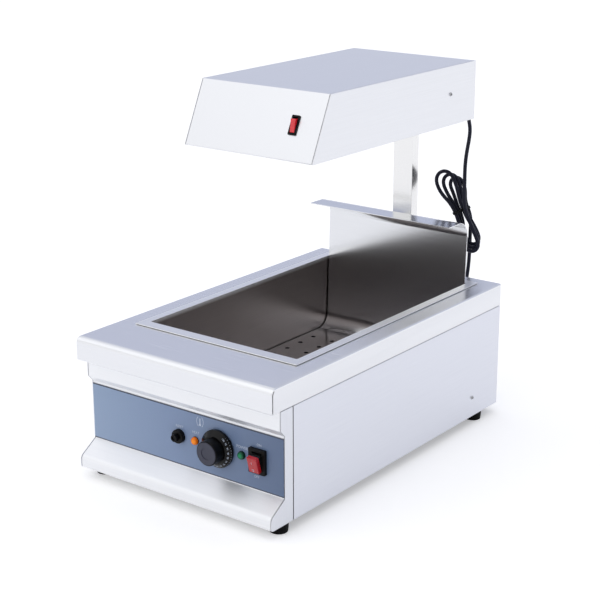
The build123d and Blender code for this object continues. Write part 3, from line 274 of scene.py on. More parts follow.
# %% [markdown]
# ## The room
# The picture is a cut-out on white. Steel shows what is round it, so the room matters more than any
# lamp. A photographed room would need an image, so this one is built from ramps over the height. It
# is white near the floor and overhead, a cool grey a little higher behind the object, which the
# flat tops show, pale to the front left and a dimmer warm grey to the front right, which the inside
# of the well shows. Two blends lead from one ramp into the next without a seam.

# %% Room
# A Mix node has sockets for every kind of data. These are the numbers of those for colours.
mix_share, mix_under, mix_over, mixed = 0, 6, 7, 2
world = bpy.data.worlds.new("studio")
bpy.context.scene.world = world
world.use_nodes = True
tree = world.node_tree
tree.nodes.clear()
where = add(tree, "ShaderNodeTexCoord")
way = add(tree, "ShaderNodeSeparateXYZ", {"Vector": where.outputs["Generated"]})
behind = add(tree, "ShaderNodeValToRGB", {"Fac": way.outputs["Z"]}, stops=[
    (0.00, ink("#ffffff")), (0.09, ink("#eceff7")), (0.18, ink("#cdd3e5")), (0.30, ink("#bac0d8")),
    (0.46, ink("#babfd4")), (0.75, ink("#ebedf4")), (1.00, ink("#ffffff")),
])
before_left = add(tree, "ShaderNodeValToRGB", {"Fac": way.outputs["Z"]}, stops=[
    (0.00, ink("#ffffff")), (0.15, ink("#fafafa")), (0.40, ink("#eff0f3")), (1.00, ink("#ffffff")),
])
before_right = add(tree, "ShaderNodeValToRGB", {"Fac": way.outputs["Z"]}, stops=[
    (0.00, ink("#ffffff")), (0.12, ink("#d8d6d6")), (0.26, ink("#9a9798")), (0.50, ink("#d0cfd1")),
    (1.00, ink("#ffffff")),
])
rightward_share = add(tree, "ShaderNodeMapRange", {
    "Value": way.outputs["X"], "From Min": -0.2, "From Max": 0.3,
})
before = add(tree, "ShaderNodeMix", {
    mix_share: rightward_share.outputs["Result"],
    mix_under: before_left.outputs["Color"], mix_over: before_right.outputs["Color"],
}, data_type="RGBA")
rearward_share = add(tree, "ShaderNodeMapRange", {
    "Value": way.outputs["Y"], "From Min": -0.5, "From Max": 0.4,
})
sky = add(tree, "ShaderNodeMix", {
    mix_share: rearward_share.outputs["Result"],
    mix_under: before.outputs[mixed], mix_over: behind.outputs["Color"],
}, data_type="RGBA")
room = add(tree, "ShaderNodeBackground", {"Color": sky.outputs[mixed], "Strength": 1.0})
add(tree, "ShaderNodeOutputWorld", {"Surface": room.outputs["Background"]})
print("room nodes", len(tree.nodes))

# %% [markdown]
# ## Floor and lamp
# A wide sheet of white paper gives the background and keeps the soft shadow under the feet. Matt
# paper alone comes out a little grey. More light would whiten it, but would bleach the steel too,
# so the paper gets a glow of its own: some where the camera sees it, and less where a surface
# mirrors it or glass shows it.

# %% Floor
floor_reach, seen_glow, mirrored_glow = 60.0, 0.32, 0.22
square = ((-1, -1), (1, -1), (1, 1), (-1, 1))
floor_corners = [(x * floor_reach, y * floor_reach, 0) for x, y in square]
floor_mesh = bpy.data.meshes.new("floor")
floor_mesh.from_pydata(floor_corners, [], [(0, 1, 2, 3)])
floor = put("floor", floor_mesh)
# Matt paper gives an even white that keeps a soft grey shadow.
paper, tree = new_finish("white_paper")
matte = add(tree, "ShaderNodeBsdfDiffuse", {"Color": ink("#f4f4f4")})
path = add(tree, "ShaderNodeLightPath")
mirrored = add(tree, "ShaderNodeMath", {
    0: path.outputs["Is Glossy Ray"], 1: path.outputs["Is Transmission Ray"],
}, operation="MAXIMUM")
faint = add(tree, "ShaderNodeMath", {
    0: mirrored.outputs[0], 1: mirrored_glow,
}, operation="MULTIPLY")
share = add(tree, "ShaderNodeMath", {
    0: path.outputs["Is Camera Ray"], 1: seen_glow, 2: faint.outputs[0],
}, operation="MULTIPLY_ADD")
glow = add(tree, "ShaderNodeEmission", {"Color": ink("#ffffff"), "Strength": share.outputs[0]})
both = add(tree, "ShaderNodeAddShader", {0: matte.outputs["BSDF"], 1: glow.outputs["Emission"]})
add(tree, "ShaderNodeOutputMaterial", {"Surface": both.outputs["Shader"]})
floor_mesh.materials.append(paper)
print("floor", 2 * floor_reach, "m across")

# %% [markdown]
# The light in the photograph is broad and soft and comes from the front left. An area lamp would
# light the near pieces more than the far ones. A sun with a wide disc is as soft, and as strong
# everywhere.

# %% Soft lamp
lamp_energy, lamp_breadth, lamp_way = 0.2, radians(60), Vector((0.45, 0.62, -1.0))
soft_lamp = put("soft_lamp", bpy.data.lights.new("soft_lamp", "SUN"))
soft_lamp.data.energy = lamp_energy
soft_lamp.data.angle = lamp_breadth
soft_lamp.rotation_mode = "QUATERNION"
soft_lamp.rotation_quaternion = lamp_way.to_track_quat("-Z", "Y")
print("lamp energy", lamp_energy)

# %% [markdown]
# ## Brushed stainless sheet
# The case is folded from stainless steel sheet that was brushed in one direction. The brush leaves
# fine parallel scratches, so reflections stay broad and soft, and every fold catches a thin bright
# line. A picture of scratched steel would have to be unwrapped onto each panel. A noise that is
# stretched along the grain fits them all. Real scratches are a few hundredths of a millimetre wide,
# too fine for this picture, so they are drawn 0.8 mm wide and 120 mm long. The folds' light comes
# from a bevel in the shader, which rounds the edges for the eye only. Brushed steel draws a
# reflection out across its grain, so a finish may also get a tangent that turns round the grain.

# %% Recipe for brushed sheet
mm_per_m = 1000.0
scratch_width_mm, scratch_length_mm = 0.8, 120.0
scratch_depth, scratch_strength, fold_radius = 0.00003, 0.05, 0.0009
dark_end, light_end = 0.25, 0.75
along_x, along_y, along_z = 0, 1, 2


def brushed_sheet(name, dark, light, grain, roughness, spread, streak=0.0):
    """Stainless sheet with its grain along one axis; streak draws reflections out across it."""
    finish, tree = new_finish(name)
    place = add(tree, "ShaderNodeTexCoord")
    stretch = [mm_per_m / scratch_width_mm] * 3
    stretch[grain] = mm_per_m / scratch_length_mm
    drawn = add(tree, "ShaderNodeMapping", {"Vector": place.outputs["Object"], "Scale": stretch})
    scratches = add(tree, "ShaderNodeTexNoise", {
        "Vector": drawn.outputs["Vector"], "Scale": 1.0, "Detail": 2.0,
    })
    tone = add(tree, "ShaderNodeValToRGB", {"Fac": scratches.outputs["Fac"]},
               stops=[(dark_end, ink(dark)), (light_end, ink(light))])
    gloss = add(tree, "ShaderNodeMapRange", {
        "Value": scratches.outputs["Fac"], "From Min": dark_end, "From Max": light_end,
        "To Min": roughness - spread, "To Max": roughness + spread,
    })
    fold = add(tree, "ShaderNodeBevel", {"Radius": fold_radius}, samples=4)
    relief = add(tree, "ShaderNodeBump", {
        "Height": scratches.outputs["Fac"], "Normal": fold.outputs["Normal"],
        "Strength": scratch_strength, "Distance": scratch_depth,
    })
    steel = add(tree, "ShaderNodeBsdfPrincipled", {
        "Base Color": tone.outputs["Color"], "Metallic": 1.0, "Roughness": gloss.outputs["Result"],
        "Normal": relief.outputs["Normal"], "Anisotropic": streak,
    })
    if streak > 0:
        round_grain = add(tree, "ShaderNodeTangent", direction_type="RADIAL", axis="XYZ"[grain])
        tree.links.new(round_grain.outputs["Tangent"], steel.inputs["Tangent"])
    add(tree, "ShaderNodeOutputMaterial", {"Surface": steel.outputs["BSDF"]})
    return finish


print("scratches to a metre", mm_per_m / scratch_width_mm)

# %% [markdown]
# The sheets of the case differ in tone, in gloss and in the way their grain runs. The numbers after
# the grain are the roughness and how much the scratches vary it.

# %% Steel of the case
# The deck is brushed from side to side: it shows the grey room, drawn out from front to back.
deck_steel = brushed_sheet(
    "brushed_304_stainless_deck", "#ebecef", "#f0f1f4", along_x, 0.27, 0.005, streak=0.7)
# The head is brushed from front to back: pale flat faces with soft, wide reflections.
head_steel = brushed_sheet(
    "brushed_304_stainless_lengthways", "#ebecef", "#f0f1f4", along_y, 0.33, 0.03)
# The fascia and the back are the dullest: nearly white, with a glow in place of reflections.
fascia_steel = brushed_sheet(
    "brushed_304_stainless_crossways", "#f3f4f7", "#f8f9fb", along_x, 0.48, 0.03, streak=0.5)
# The sides are a cool, even satin.
side_steel = brushed_sheet("brushed_304_stainless_side", "#e2e4ec", "#e7e9f0", along_y, 0.36, 0.03)
# The post is drawn tube, smooth enough to mirror what stands near it.
post_steel = brushed_sheet("brushed_304_stainless_tube", "#efefee", "#f4f3f1", along_z, 0.20, 0.03)
dress(deck_steel, "deck_top")
dress(head_steel, "head_cover", "head_side_left", "head_side_right", "head_base")
dress(fascia_steel, "front_fascia", "back_panel")
dress(side_steel, "side_panel_left", "side_panel_right")
dress(post_steel, "post")

# %% [markdown]
# Each cheek carries a strip that laps behind the side panel. Only a narrow line of it shows, in
# the seam, and there it is painted dark: painted shade for the shadow that falls into the seam. It
# could be a solid of its own, but it is one sheet with the cheek. The strip starts where the cheek
# ends, so a limit on the depth of the place finds it, and a second colour is laid over it there.

# %% Cheeks with the strip in the seam
def shade_over(finish, mask, colour):
    """Lay a second colour over a finish where a mask is 1."""
    tree = finish.node_tree
    shader = next(node for node in tree.nodes if node.type == "BSDF_PRINCIPLED")
    over = add(tree, "ShaderNodeMix", {
        mix_share: mask, mix_over: ink(colour),
        mix_under: shader.inputs["Base Color"].links[0].from_socket,
    }, data_type="RGBA")
    tree.links.new(over.outputs[mixed], shader.inputs["Base Color"])


# The cheeks are brushed upright: a pale satin with a dark line of painted shade at the seam.
cheek_steel = brushed_sheet(
    "brushed_304_stainless_cheek", "#e2e4ea", "#e7e9ee", along_z, 0.33, 0.03)
cheek_depth = 0.0499
tree = cheek_steel.node_tree
place = add(tree, "ShaderNodeTexCoord")
spot = add(tree, "ShaderNodeSeparateXYZ", {"Vector": place.outputs["Object"]})
strip = add(tree, "ShaderNodeMath", {
    0: spot.outputs["Y"], 1: front_y + cheek_depth,
}, operation="GREATER_THAN")
# Painted shade: the seam's strip goes dark.
shade_over(cheek_steel, strip.outputs[0], "#3a3431")
dress(cheek_steel, "cheek_left", "cheek_right")

# %% [markdown]
# The loose insert is rolled smoother than the case, so it mirrors its surroundings more clearly.
# The punched drain holes' walls and the sheet's cut edges are painted near black, as painted
# shade for the dark holes and the gap below. Painting each of them by hand would be slow, so two
# tests find them: they are upright, and they lie within the thickness of the insert's floor.

# %% Insert finish
# Bright rolled sheet gives clear reflections with soft edges, and painted shade makes the holes
# dark dots.
insert_steel = brushed_sheet("bright_rolled_stainless", "#e3e4e7", "#eaebed", along_x, 0.18, 0.008)
insert_floor_z, insert_sheet = deck_z - 0.135, 0.0015
upright_limit, edge_reach = 0.3, 0.6 * insert_sheet
tree = insert_steel.node_tree
place = add(tree, "ShaderNodeTexCoord")
spot = add(tree, "ShaderNodeSeparateXYZ", {"Vector": place.outputs["Object"]})
facing = add(tree, "ShaderNodeSeparateXYZ", {"Vector": place.outputs["Normal"]})
tilt = add(tree, "ShaderNodeMath", {0: facing.outputs["Z"]}, operation="ABSOLUTE")
upright = add(tree, "ShaderNodeMath", {0: tilt.outputs[0], 1: upright_limit}, operation="LESS_THAN")
in_floor = add(tree, "ShaderNodeMath", {
    0: spot.outputs["Z"], 1: insert_floor_z - insert_sheet / 2, 2: edge_reach,
}, operation="COMPARE")
painted_hole_shade = add(tree, "ShaderNodeMath", {
    0: upright.outputs[0], 1: in_floor.outputs[0],
}, operation="MULTIPLY")
# Painted shade: hole walls and cut edges go near black.
shade_over(insert_steel, painted_hole_shade.outputs[0], "#14110f")
dress(insert_steel, "chip_insert", "lamp_guard")

# %% [markdown]
# The well's walls are painted a dim warm brown-grey, as painted shade for the inside of the well
# under the head, and its floor below the insert near black, as painted shadow, while its rim on the
# deck stays bright. Both changes follow the height, so two ramps over the height lay the bright and
# the near-black colour over the walls' painted shade.

# %% Well finish
# Painted shade gives the well a dim brown-grey, in which the bright insert shows as a soft band.
well_steel = brushed_sheet("well_stainless_painted_shade", "#9a928f", "#a39b98", along_y, 0.33, 0.008)
bright_from, bright_to = deck_z - 0.006, deck_z - 0.001
floor_shadow_from, floor_shadow_to = deck_z - 0.138, deck_z - 0.146
tree = well_steel.node_tree
place = add(tree, "ShaderNodeTexCoord")
spot = add(tree, "ShaderNodeSeparateXYZ", {"Vector": place.outputs["Object"]})
# The rim comes back to bright steel; the floor goes near black as painted shadow.
for start, end, colour in ((bright_from, bright_to, "#f8f8f7"), (floor_shadow_from, floor_shadow_to, "#0e0b09")):
    height = add(tree, "ShaderNodeMapRange", {
        "Value": spot.outputs["Z"], "From Min": start, "From Max": end,
    })
    shade_over(well_steel, height.outputs["Result"], colour)
dress(well_steel, "well_pan")

# %% [markdown]
# ## Zinc, copper and lamp parts
# Behind the case sit the cheaper metals. Most of them show only from below or through the seams,
# where dull zinc makes a seam look dark. Galvanised sheet is dipped in molten zinc, which sets in
# frosty crystals about 9 mm across, so each cell of a Voronoi pattern gets its own grey and its own
# gloss. A noise would blur the crystals' straight borders.

# %% Galvanised sheet
# Zinc gives a dull blue-grey with patches that catch the light by turns.
galvanised, tree = new_finish("galvanised_steel_sheet")
crystal_mm = 9.0
place = add(tree, "ShaderNodeTexCoord")
crystals = add(tree, "ShaderNodeTexVoronoi", {
    "Vector": place.outputs["Object"], "Scale": mm_per_m / crystal_mm,
})
tone = add(tree, "ShaderNodeValToRGB", {"Fac": crystals.outputs["Color"]},
           stops=[(0.1, ink("#5a5f63")), (0.9, ink("#7c8185"))])
gloss = add(tree, "ShaderNodeMapRange", {
    "Value": crystals.outputs["Color"], "To Min": 0.35, "To Max": 0.55,
})
zinc = add(tree, "ShaderNodeBsdfPrincipled", {
    "Base Color": tone.outputs["Color"], "Metallic": 1.0, "Roughness": gloss.outputs["Result"],
})
add(tree, "ShaderNodeOutputMaterial", {"Surface": zinc.outputs["BSDF"]})
dress(galvanised, "deck_rail_left", "deck_rail_right", "base_plate", "heater_clamps", "heat_shield",
      "post_clamp", "head_socket")

# %% [markdown]
# The small metal parts are drawn, turned or plated, and have no grain that shows. One recipe serves
# them all: a noise that varies the tone, the gloss and the relief a little, with the size of its
# patches given in millimetres. The patches are coarser than the real marks, so that they show.

# %% Small metal parts
mottle_dark, mottle_light, metal_unevenness, metal_relief = 0.3, 0.7, 0.3, 0.0001


def plain_metal(name, dark, light, patch_mm, roughness, bump):
    """Metal with a mottled tone and a slightly uneven face."""
    finish, tree = new_finish(name)
    place = add(tree, "ShaderNodeTexCoord")
    mottle = add(tree, "ShaderNodeTexNoise", {
        "Vector": place.outputs["Object"], "Scale": mm_per_m / patch_mm, "Detail": 3.0,
    })
    tone = add(tree, "ShaderNodeValToRGB", {"Fac": mottle.outputs["Fac"]},
               stops=[(mottle_dark, ink(dark)), (mottle_light, ink(light))])
    gloss = add(tree, "ShaderNodeMapRange", {
        "Value": mottle.outputs["Fac"],
        "To Min": (1 - metal_unevenness) * roughness, "To Max": (1 + metal_unevenness) * roughness,
    })
    relief = add(tree, "ShaderNodeBump", {
        "Height": mottle.outputs["Fac"], "Strength": bump, "Distance": metal_relief,
    })
    metal = add(tree, "ShaderNodeBsdfPrincipled", {
        "Base Color": tone.outputs["Color"], "Metallic": 1.0, "Roughness": gloss.outputs["Result"],
        "Normal": relief.outputs["Normal"],
    })
    add(tree, "ShaderNodeOutputMaterial", {"Surface": metal.outputs["BSDF"]})
    return finish


# Zinc plating gives the screws a soft silver shine.
dress(plain_metal("zinc_plated_screw_steel", "#a4a5a8", "#c4c5c8", 2.5, 0.32, 0.1),
      "foot_screws", "side_screws", "back_screws", "post_bolts", "head_screws")
# Heat leaves a dull brown-grey oxide on the heating tube.
dress(plain_metal("oxidised_heater_tube", "#4a4441", "#6a625c", 6.0, 0.45, 0.3), "well_heater")
# Bare copper gives the sensing tube a warm orange shine.
dress(plain_metal("bare_copper_tube", "#b06a45", "#cf8a62", 5.0, 0.30, 0.1), "thermostat_bulb")
# Polished aluminium is nearly a mirror and makes the lamps' mouth bright.
dress(plain_metal("polished_aluminium", "#dcdddf", "#eceded", 30.0, 0.10, 0.05), "reflector")
# Turned steel gives the shaft a grey sheen.
dress(plain_metal("turned_steel_shaft", "#9b9c9e", "#b9babc", 1.5, 0.25, 0.1), "thermostat_shaft")

# %% [markdown]
# The lamps are tubes of clear fused quartz in holders of unglazed ceramic. A see-through shader
# could be mixed from several nodes. The main shader's own transmission is simpler, with an index a
# little below window glass, and a faint haze from handling varies its gloss. The ceramic is pressed
# from powder and fired with no glaze. Its grit is far finer than a millimetre and is drawn 1.2 mm
# coarse, so that it shows at all.

# %% Quartz and ceramic
# Quartz is clear, with bright lines along its edges.
quartz, tree = new_finish("clear_fused_quartz")
haze_mm, quartz_ior = 12.0, 1.46
place = add(tree, "ShaderNodeTexCoord")
haze = add(tree, "ShaderNodeTexNoise", {
    "Vector": place.outputs["Object"], "Scale": mm_per_m / haze_mm,
})
mist = add(tree, "ShaderNodeMapRange", {
    "Value": haze.outputs["Fac"], "To Min": 0.02, "To Max": 0.12,
})
glass = add(tree, "ShaderNodeBsdfPrincipled", {
    "Base Color": ink("#f4f6fa"), "Roughness": mist.outputs["Result"], "IOR": quartz_ior,
    "Transmission Weight": 1.0,
})
add(tree, "ShaderNodeOutputMaterial", {"Surface": glass.outputs["BSDF"]})
dress(quartz, "quartz_lamps")
# Ceramic is a warm, chalky white.
ceramic, tree = new_finish("unglazed_steatite_ceramic")
grit_mm, grit_depth = 1.2, 0.0002
place = add(tree, "ShaderNodeTexCoord")
grit = add(tree, "ShaderNodeTexNoise", {
    "Vector": place.outputs["Object"], "Scale": mm_per_m / grit_mm, "Detail": 4.0,
})
tone = add(tree, "ShaderNodeValToRGB", {"Fac": grit.outputs["Fac"]},
           stops=[(0.35, ink("#dcd8cf")), (0.65, ink("#f0ede6"))])
relief = add(tree, "ShaderNodeBump", {
    "Height": grit.outputs["Fac"], "Strength": 0.3, "Distance": grit_depth,
})
biscuit = add(tree, "ShaderNodeBsdfPrincipled", {
    "Base Color": tone.outputs["Color"], "Roughness": 0.7, "Normal": relief.outputs["Normal"],
})
add(tree, "ShaderNodeOutputMaterial", {"Surface": biscuit.outputs["BSDF"]})
dress(ceramic, "lamp_holders", "terminal_block")

# %% [markdown]
# ## Plastics and rubber
# The knob, switches, reliefs and feet are moulded. A mould is spark-eroded or polished, and the
# plastic takes that texture: fine dimples on the matt parts, almost none on the glossy dial. A
# plain colour would look like cut paper, so all of them share one recipe, a noise that varies the
# tone, the gloss and the relief. Real dimples are near 0.1 mm, too fine for this picture, so they
# are drawn 0.8 to 2 mm wide.

# %% Recipe for moulded plastic
plastic_unevenness, dimple_depth, plastic_ior, coat_roughness = 0.2, 0.0002, 1.5, 0.08


def moulded(name, dark, light, dimple_mm, roughness, bump, shine=0.5, coat=0.0):
    """Moulded plastic or rubber; shine is the strength of its mirror image, coat a clear layer."""
    finish, tree = new_finish(name)
    place = add(tree, "ShaderNodeTexCoord")
    dimples = add(tree, "ShaderNodeTexNoise", {
        "Vector": place.outputs["Object"], "Scale": mm_per_m / dimple_mm, "Detail": 3.0,
    })
    tone = add(tree, "ShaderNodeValToRGB", {"Fac": dimples.outputs["Fac"]},
               stops=[(mottle_dark, ink(dark)), (mottle_light, ink(light))])
    gloss = add(tree, "ShaderNodeMapRange", {
        "Value": dimples.outputs["Fac"],
        "To Min": (1 - plastic_unevenness) * roughness,
        "To Max": (1 + plastic_unevenness) * roughness,
    })
    relief = add(tree, "ShaderNodeBump", {
        "Height": dimples.outputs["Fac"], "Strength": bump, "Distance": dimple_depth,
    })
    plastic = add(tree, "ShaderNodeBsdfPrincipled", {
        "Base Color": tone.outputs["Color"], "Roughness": gloss.outputs["Result"],
        "IOR": plastic_ior, "Specular IOR Level": shine, "Coat Weight": coat,
        "Coat Roughness": coat_roughness, "Normal": relief.outputs["Normal"],
    })
    add(tree, "ShaderNodeOutputMaterial", {"Surface": plastic.outputs["BSDF"]})
    return finish


print("dimple depth", dimple_depth)

# %% [markdown]
# One black for all the mouldings would be simpler, but nylon, phenolic and rubber throw light back
# in different ways, and that is how the eye tells them apart. So each gets its own two tones, its
# dimples in millimetres, its roughness and the strength of its relief.

# %% Moulded parts
# Black nylon from an eroded mould is deep black with a faint, soft sheen.
dress(moulded("moulded_black_nylon", "#040405", "#09090b", 0.9, 0.40, 0.25, shine=0.16),
      "thermostat_body", "reset_cutout", "reset_nut", "reset_button", "heat_lamp_body",
      "power_lamp_body", "panel_switch_housing", "head_switch_housing", "mains_gland", "head_gland",
      "base_gland", "knob_grip", "lead_tie")
# Polished phenolic gives the dial a clear, dark gloss.
dress(moulded("polished_black_phenolic", "#040405", "#0a0a0b", 1.5, 0.18, 0.05, shine=0.2),
      "dial_skirt")
# Grey ABS makes the knob's cap a satin slate.
dress(moulded("moulded_grey_abs", "#2e3040", "#383a4c", 0.8, 0.45, 0.2), "knob_cap")
# Rubber is a flat black that hardly shines.
dress(moulded("black_neoprene_rubber", "#050505", "#0d0d0e", 1.4, 0.62, 0.4, shine=0.1),
      "rubber_feet", "well_gasket")
# The cord's PVC sheath is a blue-black with a soft line of light along it.
lead_curve.materials.append(
    moulded("black_pvc_cord_sheath", "#12131f", "#1d1f33", 1.1, 0.38, 0.2, shine=0.2))
# Clear red polycarbonate is bright and glassy, as if lit from within.
dress(moulded("polished_red_polycarbonate", "#d81a26", "#f43440", 2.0, 0.14, 0.05, coat=0.5),
      "head_rocker")

# %% [markdown]
# The main switch has a rocker of two mouldings: a black carrier on the pins and a clear red cap
# on its front, which a lamp behind it lights. In CAD it is one solid, so its finish makes the two
# colours. The cap's edge is a plane square to the rocker's own tilt, so the split is a distance
# from the pins along that tilt.

# %% Two-colour rocker
# Red polycarbonate over black: a glossy red face with a dark foot.
two_tone = moulded("red_and_black_polycarbonate", "#a8131d", "#c8242f", 2.0, 0.24, 0.05, coat=0.2)
control_z, panel_face_y = 0.110, front_y + 0.030
rocker_pin = Vector((0.1495, panel_face_y - 0.0018, control_z - 0.001))
rocker_tilt, rocker_crown, cap_depth = radians(16), 0.0135, 0.0070
rocker_out = Vector((0, -cos(rocker_tilt), -sin(rocker_tilt)))
tree = two_tone.node_tree
place = add(tree, "ShaderNodeTexCoord")
from_pin = add(tree, "ShaderNodeVectorMath", {
    0: place.outputs["Object"], 1: rocker_pin,
}, operation="SUBTRACT")
outwards = add(tree, "ShaderNodeVectorMath", {
    0: from_pin.outputs["Vector"], 1: rocker_out,
}, operation="DOT_PRODUCT")
carrier = add(tree, "ShaderNodeMath", {
    0: outwards.outputs["Value"], 1: rocker_crown - cap_depth,
}, operation="LESS_THAN")
shade_over(two_tone, carrier.outputs[0], "#0c0c0e")
dress(two_tone, "panel_rocker")

# %% [markdown]
# The indicator lenses are tinted acrylic over a neon lamp. Even unlit they look brighter in the
# middle than at the rim, because light runs in through the dome and back out. Real glass shading
# would be grainy on so small a dome, so the tint gets a soft core by the distance from the lens's
# middle, and a trace of its own light.

# %% Indicator lenses
heat_lamp_x, power_lamp_x = 0.0236, 0.1174
lens_middle_y, lens_reach, lens_glow, acrylic_ior = panel_face_y - 0.004, 0.0066, 0.12, 1.49


def tinted_lens(name, rim, core, middle_x):
    """Acrylic dome with a brighter core."""
    finish, tree = new_finish(name)
    place = add(tree, "ShaderNodeTexCoord")
    off_middle = add(tree, "ShaderNodeVectorMath", {
        0: place.outputs["Object"], 1: (middle_x, lens_middle_y, control_z),
    }, operation="DISTANCE")
    spread = add(tree, "ShaderNodeMapRange", {
        "Value": off_middle.outputs["Value"], "From Max": lens_reach,
    })
    tint = add(tree, "ShaderNodeValToRGB", {"Fac": spread.outputs["Result"]},
               stops=[(0.25, ink(core)), (0.95, ink(rim))])
    acrylic = add(tree, "ShaderNodeBsdfPrincipled", {
        "Base Color": tint.outputs["Color"], "Roughness": 0.15, "IOR": acrylic_ior,
        "Specular IOR Level": 0.3, "Emission Color": tint.outputs["Color"],
        "Emission Strength": lens_glow,
    })
    add(tree, "ShaderNodeOutputMaterial", {"Surface": acrylic.outputs["BSDF"]})
    return finish


# Orange acrylic is a warm, bright bead.
dress(tinted_lens("orange_tinted_acrylic", "#e06c04", "#ff9310", heat_lamp_x), "heat_lamp_lens")
# Green acrylic is dark and only its core is bright.
dress(tinted_lens("green_tinted_acrylic", "#013a26", "#068a58", power_lamp_x), "power_lamp_lens")

# %% [markdown]
# ## Control panel
# The front plate is steel under a printed polyester film, blue-grey and satin. Its colour is
# painted lighter at the operator's left and darker at the right, as painted light, and a dark line
# of painted shade runs along the plate's upper and lower edges. A printed picture would fix its
# sharpness, so the line and the fading follow the plate's own box, and a screen-print grain, drawn
# 1.8 mm coarse so that it shows, breaks the flat colour.

# %% Panel film
# Printed film is blue-grey with a soft, broad shine; painted light darkens it to the right.
film, tree = new_finish("printed_polyester_film")
print_grain_mm, print_grain_share, edge_shade_width, film_ior = 1.8, 0.06, 0.0018, 1.55
(panel_left, _, panel_low), (panel_right, _, panel_high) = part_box("control_panel")
place = add(tree, "ShaderNodeTexCoord")
spot = add(tree, "ShaderNodeSeparateXYZ", {"Vector": place.outputs["Object"]})
# Painted light: lighter at the left end, darker at the right.
painted_light_fade = add(tree, "ShaderNodeMapRange", {
    "Value": spot.outputs["X"], "From Min": panel_left, "From Max": panel_right,
})
blue = add(tree, "ShaderNodeValToRGB", {"Fac": painted_light_fade.outputs["Result"]},
           stops=[(0.0, ink("#96abc9")), (0.45, ink("#8296b8")), (1.0, ink("#5c6f8f"))])
grain = add(tree, "ShaderNodeTexNoise", {
    "Vector": place.outputs["Object"], "Scale": mm_per_m / print_grain_mm, "Detail": 2.0,
})
printed = add(tree, "ShaderNodeMix", {
    mix_share: print_grain_share,
    mix_under: blue.outputs["Color"], mix_over: grain.outputs["Color"],
}, data_type="RGBA", blend_type="SOFT_LIGHT")
# Painted shade: a dark line along the upper and lower edges.
above_middle = add(tree, "ShaderNodeMath", {
    0: spot.outputs["Z"], 1: (panel_low + panel_high) / 2,
}, operation="SUBTRACT")
from_middle = add(tree, "ShaderNodeMath", {0: above_middle.outputs[0]}, operation="ABSOLUTE")
painted_edge_shade = add(tree, "ShaderNodeMath", {
    0: from_middle.outputs[0], 1: (panel_high - panel_low) / 2 - edge_shade_width,
}, operation="GREATER_THAN")
edged = add(tree, "ShaderNodeMix", {
    mix_share: painted_edge_shade.outputs[0], mix_under: printed.outputs[mixed], mix_over: ink("#3a4054"),
}, data_type="RGBA")
satin = add(tree, "ShaderNodeMapRange", {
    "Value": grain.outputs["Fac"], "To Min": 0.32, "To Max": 0.44,
})
foil = add(tree, "ShaderNodeBsdfPrincipled", {
    "Base Color": edged.outputs[mixed], "Roughness": satin.outputs["Result"], "IOR": film_ior,
})
add(tree, "ShaderNodeOutputMaterial", {"Surface": foil.outputs["BSDF"]})
dress(film, "control_panel")

# %% [markdown]
# The film and the dial are printed in white, through a fine mesh that leaves its marks in the ink.
# A flat white would look pasted on, so a noise varies the tone. Real marks are too fine to show and
# are drawn 0.8 mm coarse.

# %% Screen-print ink
# Screen-print ink is a matt off-white with a little of the blue under it.
print_ink, tree = new_finish("white_screen_print")
screen_mesh_mm = 0.8
place = add(tree, "ShaderNodeTexCoord")
mesh_marks = add(tree, "ShaderNodeTexNoise", {
    "Vector": place.outputs["Object"], "Scale": mm_per_m / screen_mesh_mm,
})
tone = add(tree, "ShaderNodeValToRGB", {"Fac": mesh_marks.outputs["Fac"]},
           stops=[(mottle_dark, ink("#b4c0d4")), (mottle_light, ink("#cdd7e6"))])
paint = add(tree, "ShaderNodeBsdfPrincipled", {
    "Base Color": tone.outputs["Color"], "Roughness": 0.5,
})
add(tree, "ShaderNodeOutputMaterial", {"Surface": paint.outputs["BSDF"]})
print("ink nodes", len(tree.nodes))

# %% [markdown]
# The words name the controls. They could be part of the film's colour, as a picture, which would
# blur close by. Text objects with a hair of thickness lie on the plate instead and keep their
# letters sharp at any distance.

# %% Printed words
print_thickness = 0.00006
rightward, skyward = Vector((1, 0, 0)), Vector((0, 0, 1))


def stand(piece, place, across, upward):
    """Put a flat piece at a place, with its x along across and its y along upward."""
    facing = across.cross(upward)
    turned = Matrix((across, upward, facing)).transposed().to_4x4()
    piece.matrix_world = Matrix.Translation(place + facing * print_thickness) @ turned


def word(name, letters, size, place, across, upward, body):
    """A printed word, centred at a place on a face."""
    text = bpy.data.curves.new(name, "FONT")
    text.body, text.size, text.extrude = letters, size, print_thickness
    text.align_x, text.align_y = "CENTER", "CENTER"
    text.materials.append(print_ink)
    piece = put(name, text)
    stand(piece, place, across, upward)
    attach(piece, body)


# Each word has its letters, its place from left to right, its drop below the deck and its size.
panel_words = (
    ("RESET", -0.0092, 0.1183, 0.0060), ("HEAT", 0.0242, 0.1205, 0.0060),
    ("POWER", 0.1178, 0.1215, 0.0066), ("ON", 0.1510, 0.1096, 0.0060),
    ("OFF", 0.1456, 0.1625, 0.0060),
)
for letters, x, drop, size in panel_words:
    place = Vector((x, panel_face_y, deck_z - drop))
    word("word_" + letters.lower(), letters, size, place, rightward, skyward, "base")
print("words on the panel", len(panel_words))

# %% [markdown]
# Beside the dial stands a sign for heat: a thermometer between two arcs, in the same ink. A filled
# curve could draw it, but a small flat mesh gives the same print with few faces. Each arc is a
# strip of short quads, and the thermometer is one outline, a pointed stem that runs into a round
# bulb. A modifier gives the mesh the thickness of the ink.

